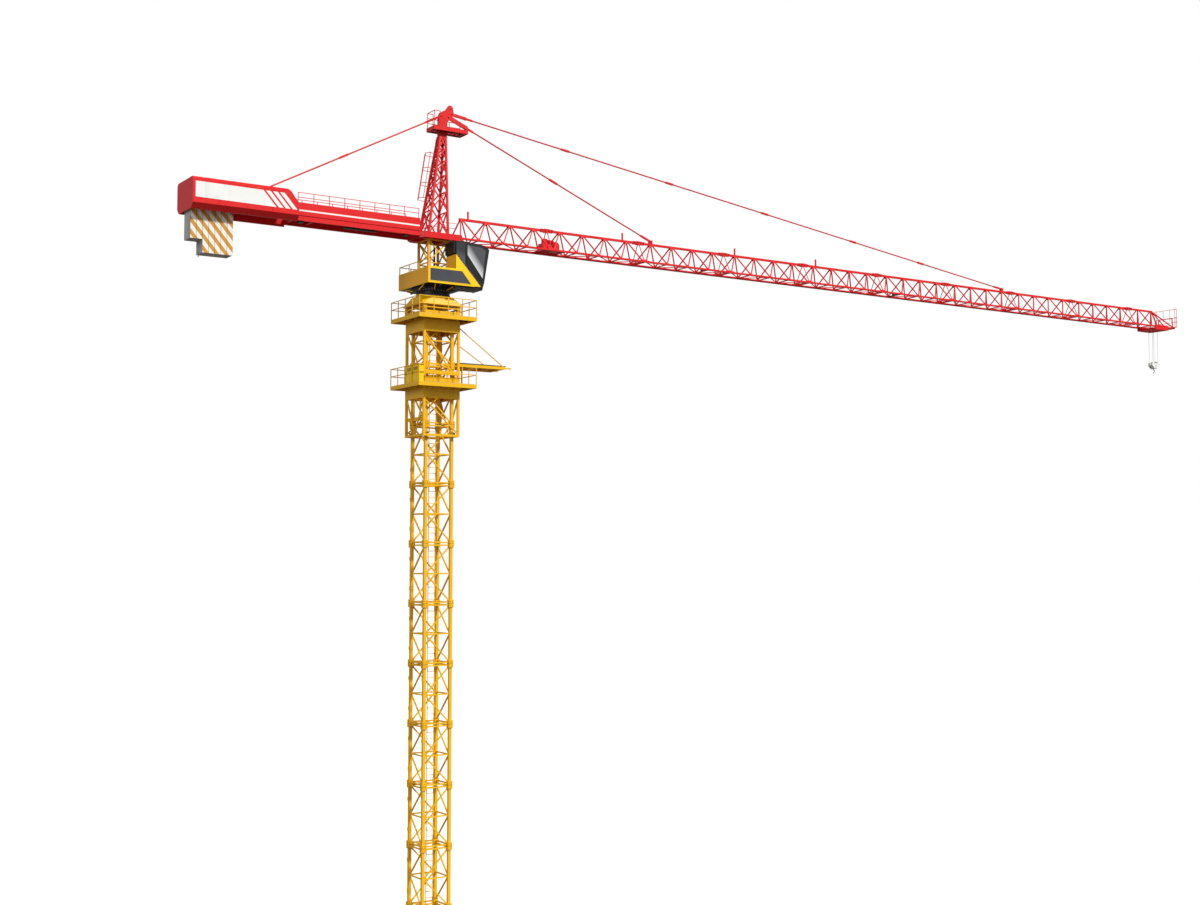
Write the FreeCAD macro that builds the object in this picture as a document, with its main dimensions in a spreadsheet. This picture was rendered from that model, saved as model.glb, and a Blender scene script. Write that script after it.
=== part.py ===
"""Tower crane with a triangular trolley jib, as a half-size model in millimetres.

The frame: +X runs along the jib, +Y to its left, +Z up. The origin is the mast's axis
on the ground, under the centre plate of the base frame. The jib stands parallel to the
mast's sides, the trolley at the outer end of its run and the hook block drawn up.
"""

import FreeCAD, Part
import Sketcher
import math
import os
import re
from FreeCAD import Placement, Rotation, Vector

doc = FreeCAD.newDocument("tower_crane")

# ---------------------------------------------------------------------------
# Driving sizes: one named cell each, in millimetres unless the note says more
# ---------------------------------------------------------------------------
SIZES = [
    # mast
    ("mast_width", 800, "mast over its legs"),
    ("leg_size", 75, "side of a mast leg"),
    ("section_height", 1500, "one mast section"),
    ("section_count", 9, "whole sections under the climbing cage"),
    ("foot_height", 250, "corner stool of the base frame"),
    ("base_beam_width", 100, "beam of the base frame"),
    ("base_beam_height", 140, "beam of the base frame"),
    ("base_overhang", 50, "base ring outside the mast"),
    ("lacing_size", 32, "diagonal of the mast"),
    ("ring_size", 34, "joint ring of the mast"),
    ("ring_pitch", 70, "between the two rings of a joint"),
    ("sleeve_length", 190, "joint sleeve on a leg"),
    ("sleeve_proud", 22, "sleeve outside the leg"),
    ("step_pitch", 750, "between climbing steps"),
    ("step_length", 90, "climbing step"),
    ("ladder_width", 190, "mast ladder"),
    ("ladder_bar", 16, "rail of the mast ladder"),
    ("ladder_set", 122, "from a leg to the mast ladder"),
    ("rung_pitch", 150, "between rungs"),
    # climbing cage and work platforms
    ("cage_rise", 1190, "cage foot above the last whole section"),
    ("cage_gap", 30, "between the mast's joint sleeves and the cage's posts"),
    ("cage_height", 2940, "cage"),
    ("cage_post", 60, "post of the cage"),
    ("cage_lacing", 30, "diagonal of the cage"),
    ("lower_skirt_rise", 960, "lower skirt above the cage foot"),
    ("lower_skirt_height", 250, "lower skirt"),
    ("upper_skirt_drop", 30, "upper skirt under the cage top"),
    ("upper_skirt_height", 265, "upper skirt"),
    ("skirt_thickness", 12, "skirt plate"),
    ("cage_beam_size", 90, "climbing beam"),
    ("lower_deck_rise", 1225, "underside of the lower platform above the cage foot"),
    ("platform_width", 1600, "work platform, across the jib"),
    ("platform_rear", 790, "work platform behind the axis"),
    ("platform_front", 845, "work platform before the axis"),
    ("platform_edge", 100, "depth of a platform's edge"),
    ("edge_width", 40, "beam of a platform's edge"),
    ("floor_thickness", 14, "floor plate"),
    ("rail_height", 445, "railing above the floor"),
    ("rail_size", 18, "bar of a railing"),
    ("play", 0.3, "between the cage and a platform's floor"),
    ("cabinet_width", 740, "pump cabinet"),
    ("cabinet_depth", 120, "pump cabinet"),
    ("cabinet_height", 450, "pump cabinet"),
    ("yoke_height", 165, "plate of the climbing yoke on the lower platform"),
    ("yoke_gap", 70, "between the yoke's plate and its beam"),
    ("yoke_beam", 100, "beam of the climbing yoke"),
    ("section_deck_rise", 1870, "root of the section platform above the cage foot"),
    ("section_deck_length", 1400, "section platform, from the cage"),
    ("section_deck_width", 750, "section platform"),
    ("section_deck_lift", 10, "tip of the section platform above its root"),
    ("section_beam", 60, "side beam of the section platform"),
    ("section_lug", 190, "lug at the tip of each side beam"),
    ("tie_bar", 20, "tie of the section platform"),
    # slewing
    ("support_width", 1150, "lower slewing support"),
    ("support_chamfer", 250, "corner of the lower slewing support, at its top"),
    ("support_height", 520, "lower slewing support"),
    ("support_foot", 130, "beams under the lower slewing support"),
    ("support_slot", 65, "slot above and below the middle bar"),
    ("support_bar", 30, "middle bar of the lower slewing support"),
    ("support_post", 90, "corner post of the lower slewing support"),
    ("bearing_radius", 430, "slewing bearing"),
    ("bearing_bore", 330, "bore of the slewing bearing"),
    ("lower_ring_height", 70, "fixed ring of the bearing"),
    ("upper_ring_height", 80, "turning ring of the bearing"),
    ("running_gap", 0.5, "between the bearing's rings"),
    ("turntable_width", 960, "turntable"),
    ("turntable_height", 100, "turntable"),
    ("deck_rear", 555, "slewing deck behind the axis"),
    ("deck_front", 760, "slewing deck before the axis"),
    ("deck_width", 1630, "slewing deck between its side boards"),
    ("board_height", 415, "side board"),
    ("board_thickness", 10, "side board"),
    ("board_slope", 345, "run of a side board's sloping end"),
    ("deck_rail_height", 600, "deck railing above the deck"),
    # cab
    ("cab_rear", 220, "cab's back before the axis"),
    ("cab_width", 505, "cab"),
    ("cab_height", 1118, "cab at its back"),
    ("cab_length", 960, "cab at its longest"),
    ("cab_floor_length", 780, "cab's floor"),
    ("cab_wall", 14, "wall of the cab"),
    ("glass_thickness", 6, "glass"),
    ("cab_panel_thickness", 8, "coloured panel on the cab's side"),
    # slewing tower, base frame and tower head
    ("tower_width", 600, "slewing tower over its legs"),
    ("tower_leg", 52, "leg of the slewing tower and tower head"),
    ("tower_rise", 1215, "slewing tower, turntable to base frame"),
    ("tower_lacing", 28, "bar of the slewing tower"),
    ("frame_rear", 565, "base frame behind the axis"),
    ("frame_front", 590, "base frame before the axis"),
    ("frame_width", 900, "base frame"),
    ("frame_corner", 120, "cut corner of the base frame"),
    ("frame_height", 155, "base frame"),
    ("frame_board", 14, "board round the base frame"),
    ("frame_beam", 90, "beam of the base frame"),
    ("head_rise", 2580, "tower head above the base frame"),
    ("head_rear", 140, "rear leg's top before the axis"),
    ("head_front", 300, "front leg's top before the axis"),
    ("head_top_width", 190, "tower head at its top, over its legs"),
    ("head_gap", 44, "between the cheeks of the head"),
    ("head_plate", 16, "cheek of the head"),
    ("pin_radius", 18, "pin of a tie"),
    ("pin_play", 0.3, "round a pin"),
    ("lug_radius", 40, "end of a tie"),
    ("hoop_reach", 280, "ladder hoop behind the ladder"),
    ("sheave_radius", 85, "head sheave"),
    ("sheave_width", 30, "head sheave"),
    ("top_deck_rear", 110, "top platform behind the axis"),
    ("top_deck_front", 875, "top platform before the axis"),
    ("top_deck_rise", 135, "top platform above the legs"),
    ("top_deck_depth", 100, "board of the top platform"),
    ("top_deck_width", 440, "top platform"),
    ("top_rail_height", 400, "railing of the top platform"),
    ("top_rail_length", 200, "railing of the top platform, on its near side"),
    # jib
    ("chord_level", 100, "axis of the lower chords above the base frame's underside"),
    ("jib_depth", 565, "lower chord axis to upper chord axis"),
    ("jib_width", 615, "lower chord axis to lower chord axis"),
    ("lower_chord", 50, "side of a lower chord"),
    ("upper_chord", 60, "side of the upper chord"),
    ("web_size", 28, "diagonal of the jib"),
    ("ledge_width", 30, "wheel ledge outside a lower chord"),
    ("ledge_thickness", 12, "wheel ledge"),
    ("first_apex", 800, "first apex before the axis"),
    ("apex_pitch", 725, "between apexes"),
    ("jib_section", 3000, "jib section"),
    ("jib_sections", 9, "whole jib sections"),
    ("end_gap", 125, "extra run before the end section"),
    ("lug_length", 380, "splice lug of the upper chord"),
    ("lug_height", 84, "splice lug of the upper chord"),
    ("tip_length", 900, "last apex to the jib's end"),
    ("tie_radius", 19, "jib tie"),
    ("link_size", 54, "coupling of a tie"),
    ("winch_place", 3520, "trolley winch before the axis"),
    ("winch_length", 760, "trolley winch tray"),
    # counter-jib
    ("counter_length", 6480, "counter-jib behind the axis"),
    ("counter_width", 750, "counter-jib over its side beams"),
    ("counter_drop", 65, "underside of the counter-jib below the chord axis"),
    ("fascia_depth", 315, "board on the side beam's outer face"),
    ("fascia_thickness", 15, "board on the side beam"),
    ("ledge_reach", 96, "ledge that carries the ballast"),
    ("ledge_depth", 50, "ledge that carries the ballast"),
    ("counter_beam_depth", 440, "side beam"),
    ("counter_beam_width", 50, "side beam"),
    ("counter_rail", 245, "railing above the side beams"),
    ("housing_length", 2600, "machinery housing"),
    ("housing_width", 1100, "machinery housing"),
    ("housing_height", 735, "machinery housing"),
    ("housing_drop", 115, "inward slope under the housing's sides"),
    ("slab_count", 7, "ballast slabs"),
    ("slab_pitch", 148, "between ballast slabs"),
    ("slab_thickness", 144, "ballast slab"),
    ("slab_width", 420, "ballast slab"),
    ("slab_head", 600, "ballast slab at its hanging head"),
    ("slab_height", 1215, "long ballast slab"),
    ("short_slab_height", 900, "short ballast slab"),
    # trolley and hook
    ("trolley_place", 28750, "trolley before the axis"),
    ("trolley_length", 720, "trolley"),
    ("wheel_radius", 38, "trolley wheel"),
    ("wheel_width", 22, "trolley wheel"),
    ("trolley_drop", 120, "underside of the trolley under the chord axis"),
    ("cheek", 16, "side plate of the trolley"),
    ("clearance", 6, "between the trolley and the jib"),
    ("rope_radius", 6, "hoist rope"),
    ("fall_length", 1160, "hoist rope, trolley to hook block"),
    ("fall_spread", 270, "between the rope falls, along the jib"),
    ("fall_width", 150, "between the rope falls, across the jib"),
    ("block_height", 190, "hook block"),
    ("block_length", 400, "hook block"),
    ("block_width", 190, "hook block"),
    ("hook_shank", 16, "radius of the hook's shank"),
    ("hook_bow", 46, "radius of the hook's bow"),
]

sheet = doc.addObject("Spreadsheet::Sheet", "Sizes")
for row, (alias, value, note) in enumerate(SIZES, 1):
    sheet.set(f"A{row}", alias)
    sheet.set(f"B{row}", str(value))
    sheet.set(f"C{row}", note)
    sheet.setAlias(f"B{row}", alias)
levels = doc.addObject("App::VarSet", "Levels")
doc.recompute()
ALIASES = {alias for alias, _, _ in SIZES}
LEVELS = {}


def bound(text):
    """The expression text with each word tied to its cell or level."""
    def tie(match):
        word = match.group(0)
        if word in LEVELS:
            return f"Levels.{word}"
        if word in ALIASES:
            return f"Sizes.{word}"
        return word
    return re.sub(r"[a-z][a-z_]*[a-z]", tie, str(text))


def level(name, text):
    """A derived height or place, bound to the sheet, and its value."""
    levels.addProperty("App::PropertyFloat", name)
    levels.setExpression(name, bound(text))
    LEVELS[name] = text
    doc.recompute()
    return float(getattr(levels, name))


def size(alias):
    """The value of one named cell."""
    return float(sheet.get(alias))


# Heights, from the ground up
z_joint = level("z_joint", "foot_height + section_count * section_height")
z_cage = level("z_cage", "z_joint + cage_rise")
z_cage_top = level("z_cage_top", "z_cage + cage_height")
cage_wide = level("cage_wide", "mast_width + 2 * (sleeve_proud + cage_gap + cage_post)")
z_low_deck = level("z_low_deck", "z_cage + lower_deck_rise")
z_low_floor = level("z_low_floor", "z_low_deck + platform_edge")
z_high_floor = level("z_high_floor", "z_cage_top + platform_edge")
z_support_top = level("z_support_top", "z_high_floor + support_height")
z_race = level("z_race", "z_support_top + lower_ring_height + running_gap")
z_race_top = level("z_race_top", "z_race + upper_ring_height")
z_table_top = level("z_table_top", "z_race_top + turntable_height")
z_deck = level("z_deck", "z_table_top + floor_thickness")
z_frame = level("z_frame", "z_table_top + tower_rise")
z_frame_top = level("z_frame_top", "z_frame + frame_height")
z_chord = level("z_chord", "z_frame + chord_level")
z_upper = level("z_upper", "z_chord + jib_depth")
z_head = level("z_head", "z_frame_top + head_rise")
z_trolley = level("z_trolley", "z_chord - trolley_drop")
z_block = level("z_block", "z_trolley - fall_length")
z_counter = level("z_counter", "z_frame + chord_level - counter_drop")
x_last = level("x_last", "first_apex + jib_sections * jib_section + end_gap + apex_pitch")
x_tip = level("x_tip", "x_last + tip_length")

NODES = []


def keep(obj, label):
    """Names a finished sub-part, which gets a file of its own."""
    obj.Label = label
    NODES.append(obj)
    return obj


# ---------------------------------------------------------------------------
# Primitives bound to the sheet
# ---------------------------------------------------------------------------
def box(name, dims, place):
    """A Part::Box: its three sizes and its low corner as expressions."""
    obj = doc.addObject("Part::Box", name)
    for prop, text in zip(("Length", "Width", "Height"), dims):
        obj.setExpression(prop, bound(text))
    for prop, text in zip(("x", "y", "z"), place):
        obj.setExpression(f".Placement.Base.{prop}", bound(text))
    return obj


def rod(name, radius, height, place, turn=None):
    """A Part::Cylinder, upright unless a turn (axis, degrees) is given."""
    obj = doc.addObject("Part::Cylinder", name)
    obj.setExpression("Radius", bound(radius))
    obj.setExpression("Height", bound(height))
    if turn:
        obj.Placement = Placement(Vector(), Rotation(Vector(*turn[0]), turn[1]))
    for prop, text in zip(("x", "y", "z"), place):
        obj.setExpression(f".Placement.Base.{prop}", bound(text))
    return obj


def joined(label, parts):
    """One sub-part from several primitives that meet."""
    obj = doc.addObject("Part::MultiFuse", label)
    obj.Shapes = parts
    obj.Refine = True
    return keep(obj, label)


def grouped(label, parts):
    """One sub-part from solids that stay apart."""
    obj = doc.addObject("Part::Compound", label)
    obj.Links = parts
    return keep(obj, label)


def cut(name, base, tool):
    """The base object less the tool object."""
    obj = doc.addObject("Part::Cut", name)
    obj.Base, obj.Tool = base, tool
    return obj


def ring_box(name, outer, inner, height, z):
    """A rectangular ring: outer and inner are (x0, x1, y0, y1) expressions."""
    def block(tag, edge, low, tall):
        return box(
            f"{name}_{tag}",
            (f"({edge[1]}) - ({edge[0]})", f"({edge[3]}) - ({edge[2]})", tall),
            (edge[0], edge[2], low),
        )
    whole = block("outer", outer, z, height)
    hole = block("inner", inner, f"({z}) - 5", f"({height}) + 10")
    return cut(name, whole, hole)


def profile_pad(label, plane, points, length, origin, far=False):
    """A PartDesign body: a polygon with every corner bound to the sheet, padded.

    The plane's role is XZ_Plane (pad along -Y, or +Y with far) or YZ_Plane (along +X).
    """
    body = doc.addObject("PartDesign::Body", label)
    sketch = body.newObject("Sketcher::SketchObject", f"{label}_profile")
    base = [f for f in body.Origin.OriginFeatures if f.Role == plane][0]
    sketch.AttachmentSupport = (base, "")
    sketch.MapMode = "FlatFace"
    count = len(points)
    radius = 100.0
    for i in range(count):
        a, b = (2 * math.pi * k / count for k in (i, i + 1))
        sketch.addGeometry(Part.LineSegment(
            Vector(radius * math.cos(a), radius * math.sin(a), 0),
            Vector(radius * math.cos(b), radius * math.sin(b), 0)), False)
    for i in range(count):
        sketch.addConstraint(Sketcher.Constraint("Coincident", i, 2, (i + 1) % count, 1))
    for i, point in enumerate(points):
        for kind, text in zip(("DistanceX", "DistanceY"), point):
            start = sketch.Geometry[i].StartPoint
            here = start.x if kind == "DistanceX" else start.y
            index = sketch.addConstraint(Sketcher.Constraint(kind, -1, 1, i, 1, here))
            sketch.setExpression(f"Constraints[{index}]", bound(text))
    pad = body.newObject("PartDesign::Pad", f"{label}_pad")
    pad.Profile = sketch
    pad.setExpression("Length", bound(length))
    pad.Reversed = far
    for prop, text in zip(("x", "y", "z"), origin):
        body.setExpression(f".Placement.Base.{prop}", bound(text))
    return body


# ---------------------------------------------------------------------------
# Bars of four sides between two points, for the lattices
# ---------------------------------------------------------------------------
def bar(a, b, across, deep=None, normal=(0, 1, 0)):
    """A straight bar from a to b: `deep` along the normal, `across` beside it."""
    a, b, n = Vector(*a), Vector(*b), Vector(*normal)
    deep = across if deep is None else deep
    run = (b - a).normalize()
    side = run.cross(n).normalize()
    up = side.cross(run).normalize()
    half, rise = side * (across / 2), up * (deep / 2)
    corners = [a + half + rise, a - half + rise, a - half - rise, a + half - rise]
    face = Part.Face(Part.makePolygon(corners + corners[:1]))
    return face.extrude(b - a)


def block(x, y, z):
    """A solid block between three (low, high) pairs."""
    return Part.makeBox(x[1] - x[0], y[1] - y[0], z[1] - z[0], Vector(x[0], y[0], z[0]))


def fused(shapes):
    """The bars as one solid, with its seams merged."""
    whole = shapes[0].multiFuse(shapes[1:]) if len(shapes) > 1 else shapes[0]
    return whole.removeSplitter()


def lattice(label, shape, turn=None):
    """A sub-part whose form comes from Part's functions, turned about the mast."""
    obj = doc.addObject("Part::Feature", label)
    obj.Shape = shape
    if turn is not None:
        obj.Placement = Placement(Vector(), Rotation(Vector(0, 0, 1), turn))
    return keep(obj, label)


# ---------------------------------------------------------------------------
# Base frame: a flat-bottomed ring, two crossing beams, a stool under each leg
# ---------------------------------------------------------------------------
reach = "(mast_width / 2 + base_overhang)"
stool = "(leg_size + 2 * sleeve_proud)"
parts = [ring_box(
    "base_ring",
    (f"-{reach}", reach, f"-{reach}", reach),
    (f"-{reach} + base_beam_width", f"{reach} - base_beam_width",
     f"-{reach} + base_beam_width", f"{reach} - base_beam_width"),
    "base_beam_height", "0")]
parts.append(box("base_cross_x", (f"2 * {reach} - 20", "base_beam_width", "base_beam_height"),
                 (f"-{reach} + 10", "-base_beam_width / 2", "0")))
parts.append(box("base_cross_y", ("base_beam_width", f"2 * {reach} - 20", "base_beam_height"),
                 ("-base_beam_width / 2", f"-{reach} + 10", "0")))
for i, (sx, sy) in enumerate(((1, -1), (-1, -1), (-1, 1), (1, 1))):
    corner = [f"{s} * (mast_width - leg_size) / 2 - {stool} / 2" for s in (sx, sy)]
    parts.append(box(f"base_stool_{i}", (stool, stool, "foot_height"), (*corner, "0")))
joined("base_frame", parts)


# ---------------------------------------------------------------------------
# Mast: four flat sides, each one leg with its lacing to the next leg
# ---------------------------------------------------------------------------
def joint_levels():
    """Heights of the section joints, the top of the mast left out."""
    pitch, count = size("section_height"), int(size("section_count"))
    found = [size("foot_height") + k * pitch for k in range(1, count + 1)]
    while found[-1] + pitch < z_high_floor - size("sleeve_length"):
        found.append(found[-1] + pitch)
    return found


def mast_side():
    """The side at -Y: its leg stands at +X, the lacing runs to the leg at -X."""
    leg, half = size("leg_size"), size("mast_width") / 2
    c = half - leg / 2
    lace, ring = size("lacing_size"), size("ring_size")
    foot = size("foot_height")
    proud, long = size("sleeve_proud"), size("sleeve_length")
    bars = [block((half - leg, half), (-half, -half + leg), (foot, z_high_floor))]
    joints = joint_levels()
    marks = [foot] + joints + [z_high_floor]
    edge = -half + leg
    for low, high in zip(marks, marks[1:]):
        middle = (low + high) / 2
        bars.append(bar((c, -c, low + ring), (edge - 10, -c, middle), lace))
        bars.append(bar((c, -c, high - ring), (edge - 10, -c, middle), lace))
        bars.append(bar((c, -c, middle), (edge, -c, middle), lace))
    for z in joints:
        outer = (half - leg - proud, half + proud), (-half - proud, -half + leg + proud)
        bars.append(block(*outer, (z - long / 2, z + long / 2)))
        for sign in (-1, 1):
            level_z = z + sign * size("ring_pitch") / 2
            bars.append(bar((c, -c, level_z), (edge - proud, -c, level_z), ring))
    shape = fused(bars)
    others = [block((-half, edge), (-half, edge), (0, z_high_floor + 10))]
    for z in joints:
        others.append(block((-half - proud, edge + proud), (-half - proud, edge + proud),
                            (z - long / 2, z + long / 2)))
    return shape.cut(fused(others)).removeSplitter()


side_shape = mast_side()
for label, turn in (("mast_side_front", 0), ("mast_side_left", -90),
                    ("mast_side_rear", 180), ("mast_side_right", 90)):
    lattice(label, side_shape.copy(), turn)


def climbing_steps():
    """Dogs for the climbing beam, on the outer face of the two legs at -X."""
    leg, half = size("leg_size"), size("mast_width") / 2
    proud = size("sleeve_proud")
    c, wide, long = half - leg / 2, leg * 0.55, size("step_length")
    solids = []
    z = size("foot_height") + size("step_pitch") / 2
    while z < z_joint + size("cage_rise") - long:
        for sign in (-1, 1):
            y = sign * c
            solids.append(block((-half - proud, -half), (y - wide / 2, y + wide / 2),
                                (z - long / 2, z + long / 2)))
        z += size("step_pitch")
    return Part.makeCompound(solids)


lattice("climbing_steps", climbing_steps())


def ladder(x, y, low, high, wide, rail, pitch, across="y"):
    """Two rails with rungs, the rungs along `across`."""
    def spot(u, z):
        return (x, y + u, z) if across == "y" else (x + u, y, z)
    n = (1, 0, 0) if across == "y" else (0, 1, 0)
    bars = [bar(spot(s * wide / 2, low), spot(s * wide / 2, high), rail, normal=n)
            for s in (-1, 1)]
    z = low + pitch / 2
    while z < high - rail:
        bars.append(bar(spot(-wide / 2, z), spot(wide / 2, z), rail * 0.8, normal=n))
        z += pitch
    return bars


def ladder_place():
    """The middle of the mast ladder, inside the right-hand side of the mast."""
    half, leg = size("mast_width") / 2, size("leg_size")
    return leg - half + size("ladder_width") / 2 + size("ladder_set"), leg / 2 - half + 130


def mast_ladder():
    """The inside ladder, standing on the base frame and held by a bar at each joint."""
    half, leg, rail = size("mast_width") / 2, size("leg_size"), size("ladder_bar")
    c = half - leg / 2
    wide = size("ladder_width")
    x, y = ladder_place()
    bars = ladder(x, y, size("base_beam_height"), z_high_floor - 300, wide, rail,
                  size("rung_pitch"), across="x")
    inner = -c + size("ring_size") / 2
    for z in joint_levels():
        for s in (-1, 1):
            level_z = z + size("ring_pitch") / 2
            bars.append(bar((x + s * wide / 2, inner, level_z),
                            (x + s * wide / 2, y, level_z), rail, normal=(1, 0, 0)))
    return fused(bars)


lattice("mast_ladder", mast_ladder())


def rest_platforms():
    """A plate at each joint, lying on the two joint rings at the -X end."""
    half, leg, ring = size("mast_width") / 2, size("leg_size"), size("ring_size")
    proud = size("sleeve_proud")
    inner = half - leg - proud
    solids = []
    for z in joint_levels():
        top = z + size("ring_pitch") / 2 + ring / 2
        solids.append(block((-inner + 2, -inner + 240),
                            (-half + leg / 2 - ring / 2, half - leg / 2 + ring / 2),
                            (top, top + 8)))
    x, y = ladder_place()
    reach = size("ladder_width") / 2 + 30
    well = block((x - reach, x + reach), (-half, y + 60), (0, z_high_floor))
    return Part.makeCompound(solids).cut(well)


lattice("rest_platforms", rest_platforms())

# ---------------------------------------------------------------------------
# Climbing cage round the mast's top
# ---------------------------------------------------------------------------
def cage_side(posts):
    """The cage's side at -Y; with posts it takes both corners, else it fits between."""
    half, post, lace = cage_wide / 2, size("cage_post"), size("cage_lacing")
    y = -half + post / 2
    low, high = z_cage, z_cage_top
    end = half if posts else half - post
    skirt_y = (-half, -half + size("skirt_thickness"))
    skirt_low = low + size("lower_skirt_rise")
    skirt_high = high - size("upper_skirt_drop")
    bars = []
    if posts:
        for s in (-1, 1):
            x = s * (half - post / 2)
            bars.append(block((x - post / 2, x + post / 2), (-half, -half + post), (low, high)))
    rails = [low + post / 2, skirt_low + size("lower_skirt_height") + post * 0.75,
             high - post / 2]
    for z in rails:
        bars.append(block((-end, end), (-half, -half + post), (z - post / 2, z + post / 2)))
    for z0, tall in ((skirt_low, size("lower_skirt_height")),
                     (skirt_high - size("upper_skirt_height"), size("upper_skirt_height"))):
        bars.append(block((-end, end), skirt_y, (z0, z0 + tall)))
        bars.append(block((-end, end), (-half, -half + post), (z0, z0 + lace)))
        bars.append(block((-end, end), (-half, -half + post), (z0 + tall - lace, z0 + tall)))
    reach_x = end - post * 0.2 if posts else end
    top_low = skirt_high - size("upper_skirt_height")
    floor = z_low_floor
    bars.append(bar((-reach_x, y, top_low), (reach_x, y, floor + 60), lace))
    if posts:
        beam_low = floor + size("yoke_height") + size("yoke_gap")
        bars.append(block((-end, end), skirt_y, (floor, floor + size("yoke_height"))))
        bars.append(block((-end, end), (-half, -half + post),
                          (beam_low, beam_low + size("yoke_beam"))))
        bars.append(bar((-reach_x, y, skirt_low), (reach_x, y, low + post), lace))
    else:
        bars.append(bar((reach_x, y, skirt_low), (0, y, low + post), lace))
        bars.append(bar((-reach_x, y, skirt_low), (0, y, low + post), lace))
    shape = fused(bars)
    keep_box = block((-end, end), (-half - 5, 0), (low, high))
    return shape.common(keep_box).removeSplitter()


for label, posts, turn in (("cage_front", True, 0), ("cage_left", False, -90),
                           ("cage_rear", True, 180), ("cage_right", False, 90)):
    lattice(label, cage_side(posts), turn)

inner_cage = "(cage_wide / 2 - cage_post)"
sleeve_top = "(z_joint + section_height + sleeve_length / 2)"
keep(box("climbing_beam",
         (f"{inner_cage} - mast_width / 2 - play", f"2 * ({inner_cage} - play)", "cage_beam_size"),
         (f"play - {inner_cage}", f"play - {inner_cage}", sleeve_top)), "climbing_beam")

# ---------------------------------------------------------------------------
# Work platforms: an edge of beams and a floor plate, then a railing
# ---------------------------------------------------------------------------
def platform(label, low, hole):
    """A platform round the mast; its hole is a half width."""
    side = "platform_width / 2"
    outer = ("-platform_rear", "platform_front", f"-{side}", side)
    inner = (f"-({hole})", hole, f"-({hole})", hole)
    edge_in = ("-platform_rear + edge_width", "platform_front - edge_width",
               f"-{side} + edge_width", f"{side} - edge_width")
    top = f"{low} + platform_edge"
    found = [
        ring_box(f"{label}_edge", outer, edge_in, "platform_edge", low),
        ring_box(f"{label}_floor", outer, inner, "floor_thickness", f"{top} - floor_thickness"),
        ring_box(f"{label}_inner",
                 (f"-({hole}) - edge_width", f"({hole}) + edge_width",
                  f"-({hole}) - edge_width", f"({hole}) + edge_width"),
                 inner, "platform_edge", low),
    ]
    for i, s in enumerate((-1, 1)):
        start = f"-{side} + 5" if s < 0 else hole
        found.append(box(f"{label}_joist_{i}",
                         ("edge_width", f"{side} - ({hole}) - 5", "platform_edge"),
                         ("-edge_width / 2", start, low)))
    return joined(label, found)


def railing(x0, x1, y0, y1, floor, tall, posts, rail, inset, sides="front left rear right",
            middle=True):
    """Posts and rails round a floor; posts is the number of bays of a long side."""
    x0, x1, y0, y1 = x0 + inset, x1 - inset, y0 + inset, y1 - inset
    runs = {"front": ((x0, y0), (x1, y0)), "right": ((x1, y0), (x1, y1)),
            "rear": ((x1, y1), (x0, y1)), "left": ((x0, y1), (x0, y0))}
    bars = []
    for name in sides.split():
        (ax, ay), (bx, by) = runs[name]
        dx, dy = (bx - ax) / posts, (by - ay) / posts
        for k in range(posts + 1):
            x, y = ax + dx * k, ay + dy * k
            bars.append(block((x - rail / 2, x + rail / 2), (y - rail / 2, y + rail / 2),
                              (floor, floor + tall)))
        for z in (floor + tall - rail / 2, floor + tall * 0.55)[:2 if middle else 1]:
            xs, ys = sorted((ax, bx)), sorted((ay, by))
            bars.append(block((xs[0] - rail / 2, xs[1] + rail / 2),
                              (ys[0] - rail / 2, ys[1] + rail / 2), (z - rail / 2, z + rail / 2)))
    return fused(bars)


def platform_railing(label, floor):
    half, rail = size("platform_width") / 2, size("rail_size")
    lattice(label, railing(-size("platform_rear"), size("platform_front"), -half, half, floor,
                           size("rail_height"), 4, rail, rail / 2))


platform("lower_platform", "z_low_deck", "cage_wide / 2 + play")
platform_railing("lower_railing", z_low_floor)
platform("upper_platform", "z_cage_top", "mast_width / 2 + sleeve_proud + play")
platform_railing("upper_railing", z_high_floor)

keep(box("pump_cabinet", ("cabinet_depth", "cabinet_width", "cabinet_height"),
         ("-platform_rear + rail_size + 6", "-platform_width / 2 + rail_size + 8",
          "z_low_floor")),
     "pump_cabinet")


# ---------------------------------------------------------------------------
# Section platform on the jib side of the cage, hung on two ties
# ---------------------------------------------------------------------------
def section_deck_line(x):
    """Height of the section platform's top at a distance from the axis."""
    start = cage_wide / 2
    rise = size("section_deck_lift") / size("section_deck_length")
    return z_cage + size("section_deck_rise") + (x - start) * rise


def section_platform():
    """Two side beams with a floor between them and a low kerb."""
    x0 = cage_wide / 2
    x1 = x0 + size("section_deck_length")
    beam, half = size("section_beam"), size("section_deck_width") / 2
    a, b = section_deck_line(x0), section_deck_line(x1)
    bars = []
    for s in (-1, 1):
        y = s * (half - beam / 2)
        bars.append(bar((x0, y, a - beam / 2), (x1, y, b - beam / 2), beam))
        bars.append(block((x1 - beam, x1 + size("section_lug")), (y - beam / 4, y + beam / 4),
                          (b - beam * 0.7, b - beam * 0.1)))
    for k in range(5):
        x = x0 + beam / 2 + (x1 - x0 - beam) * k / 4
        z = section_deck_line(x) - beam / 2
        bars.append(block((x - beam / 2, x + beam / 2), (-half + beam, half - beam),
                          (z - beam * 0.45, z + beam * 0.45)))
    bars.append(bar((x0 + 2, 0, a + 6), (x1, 0, b + 6), 12, 2 * half, normal=(0, 1, 0)))
    shape = fused(bars)
    return shape.common(block((x0, x1 + size("section_lug")), (-half, half), (a - 200, b + 200)))


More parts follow.
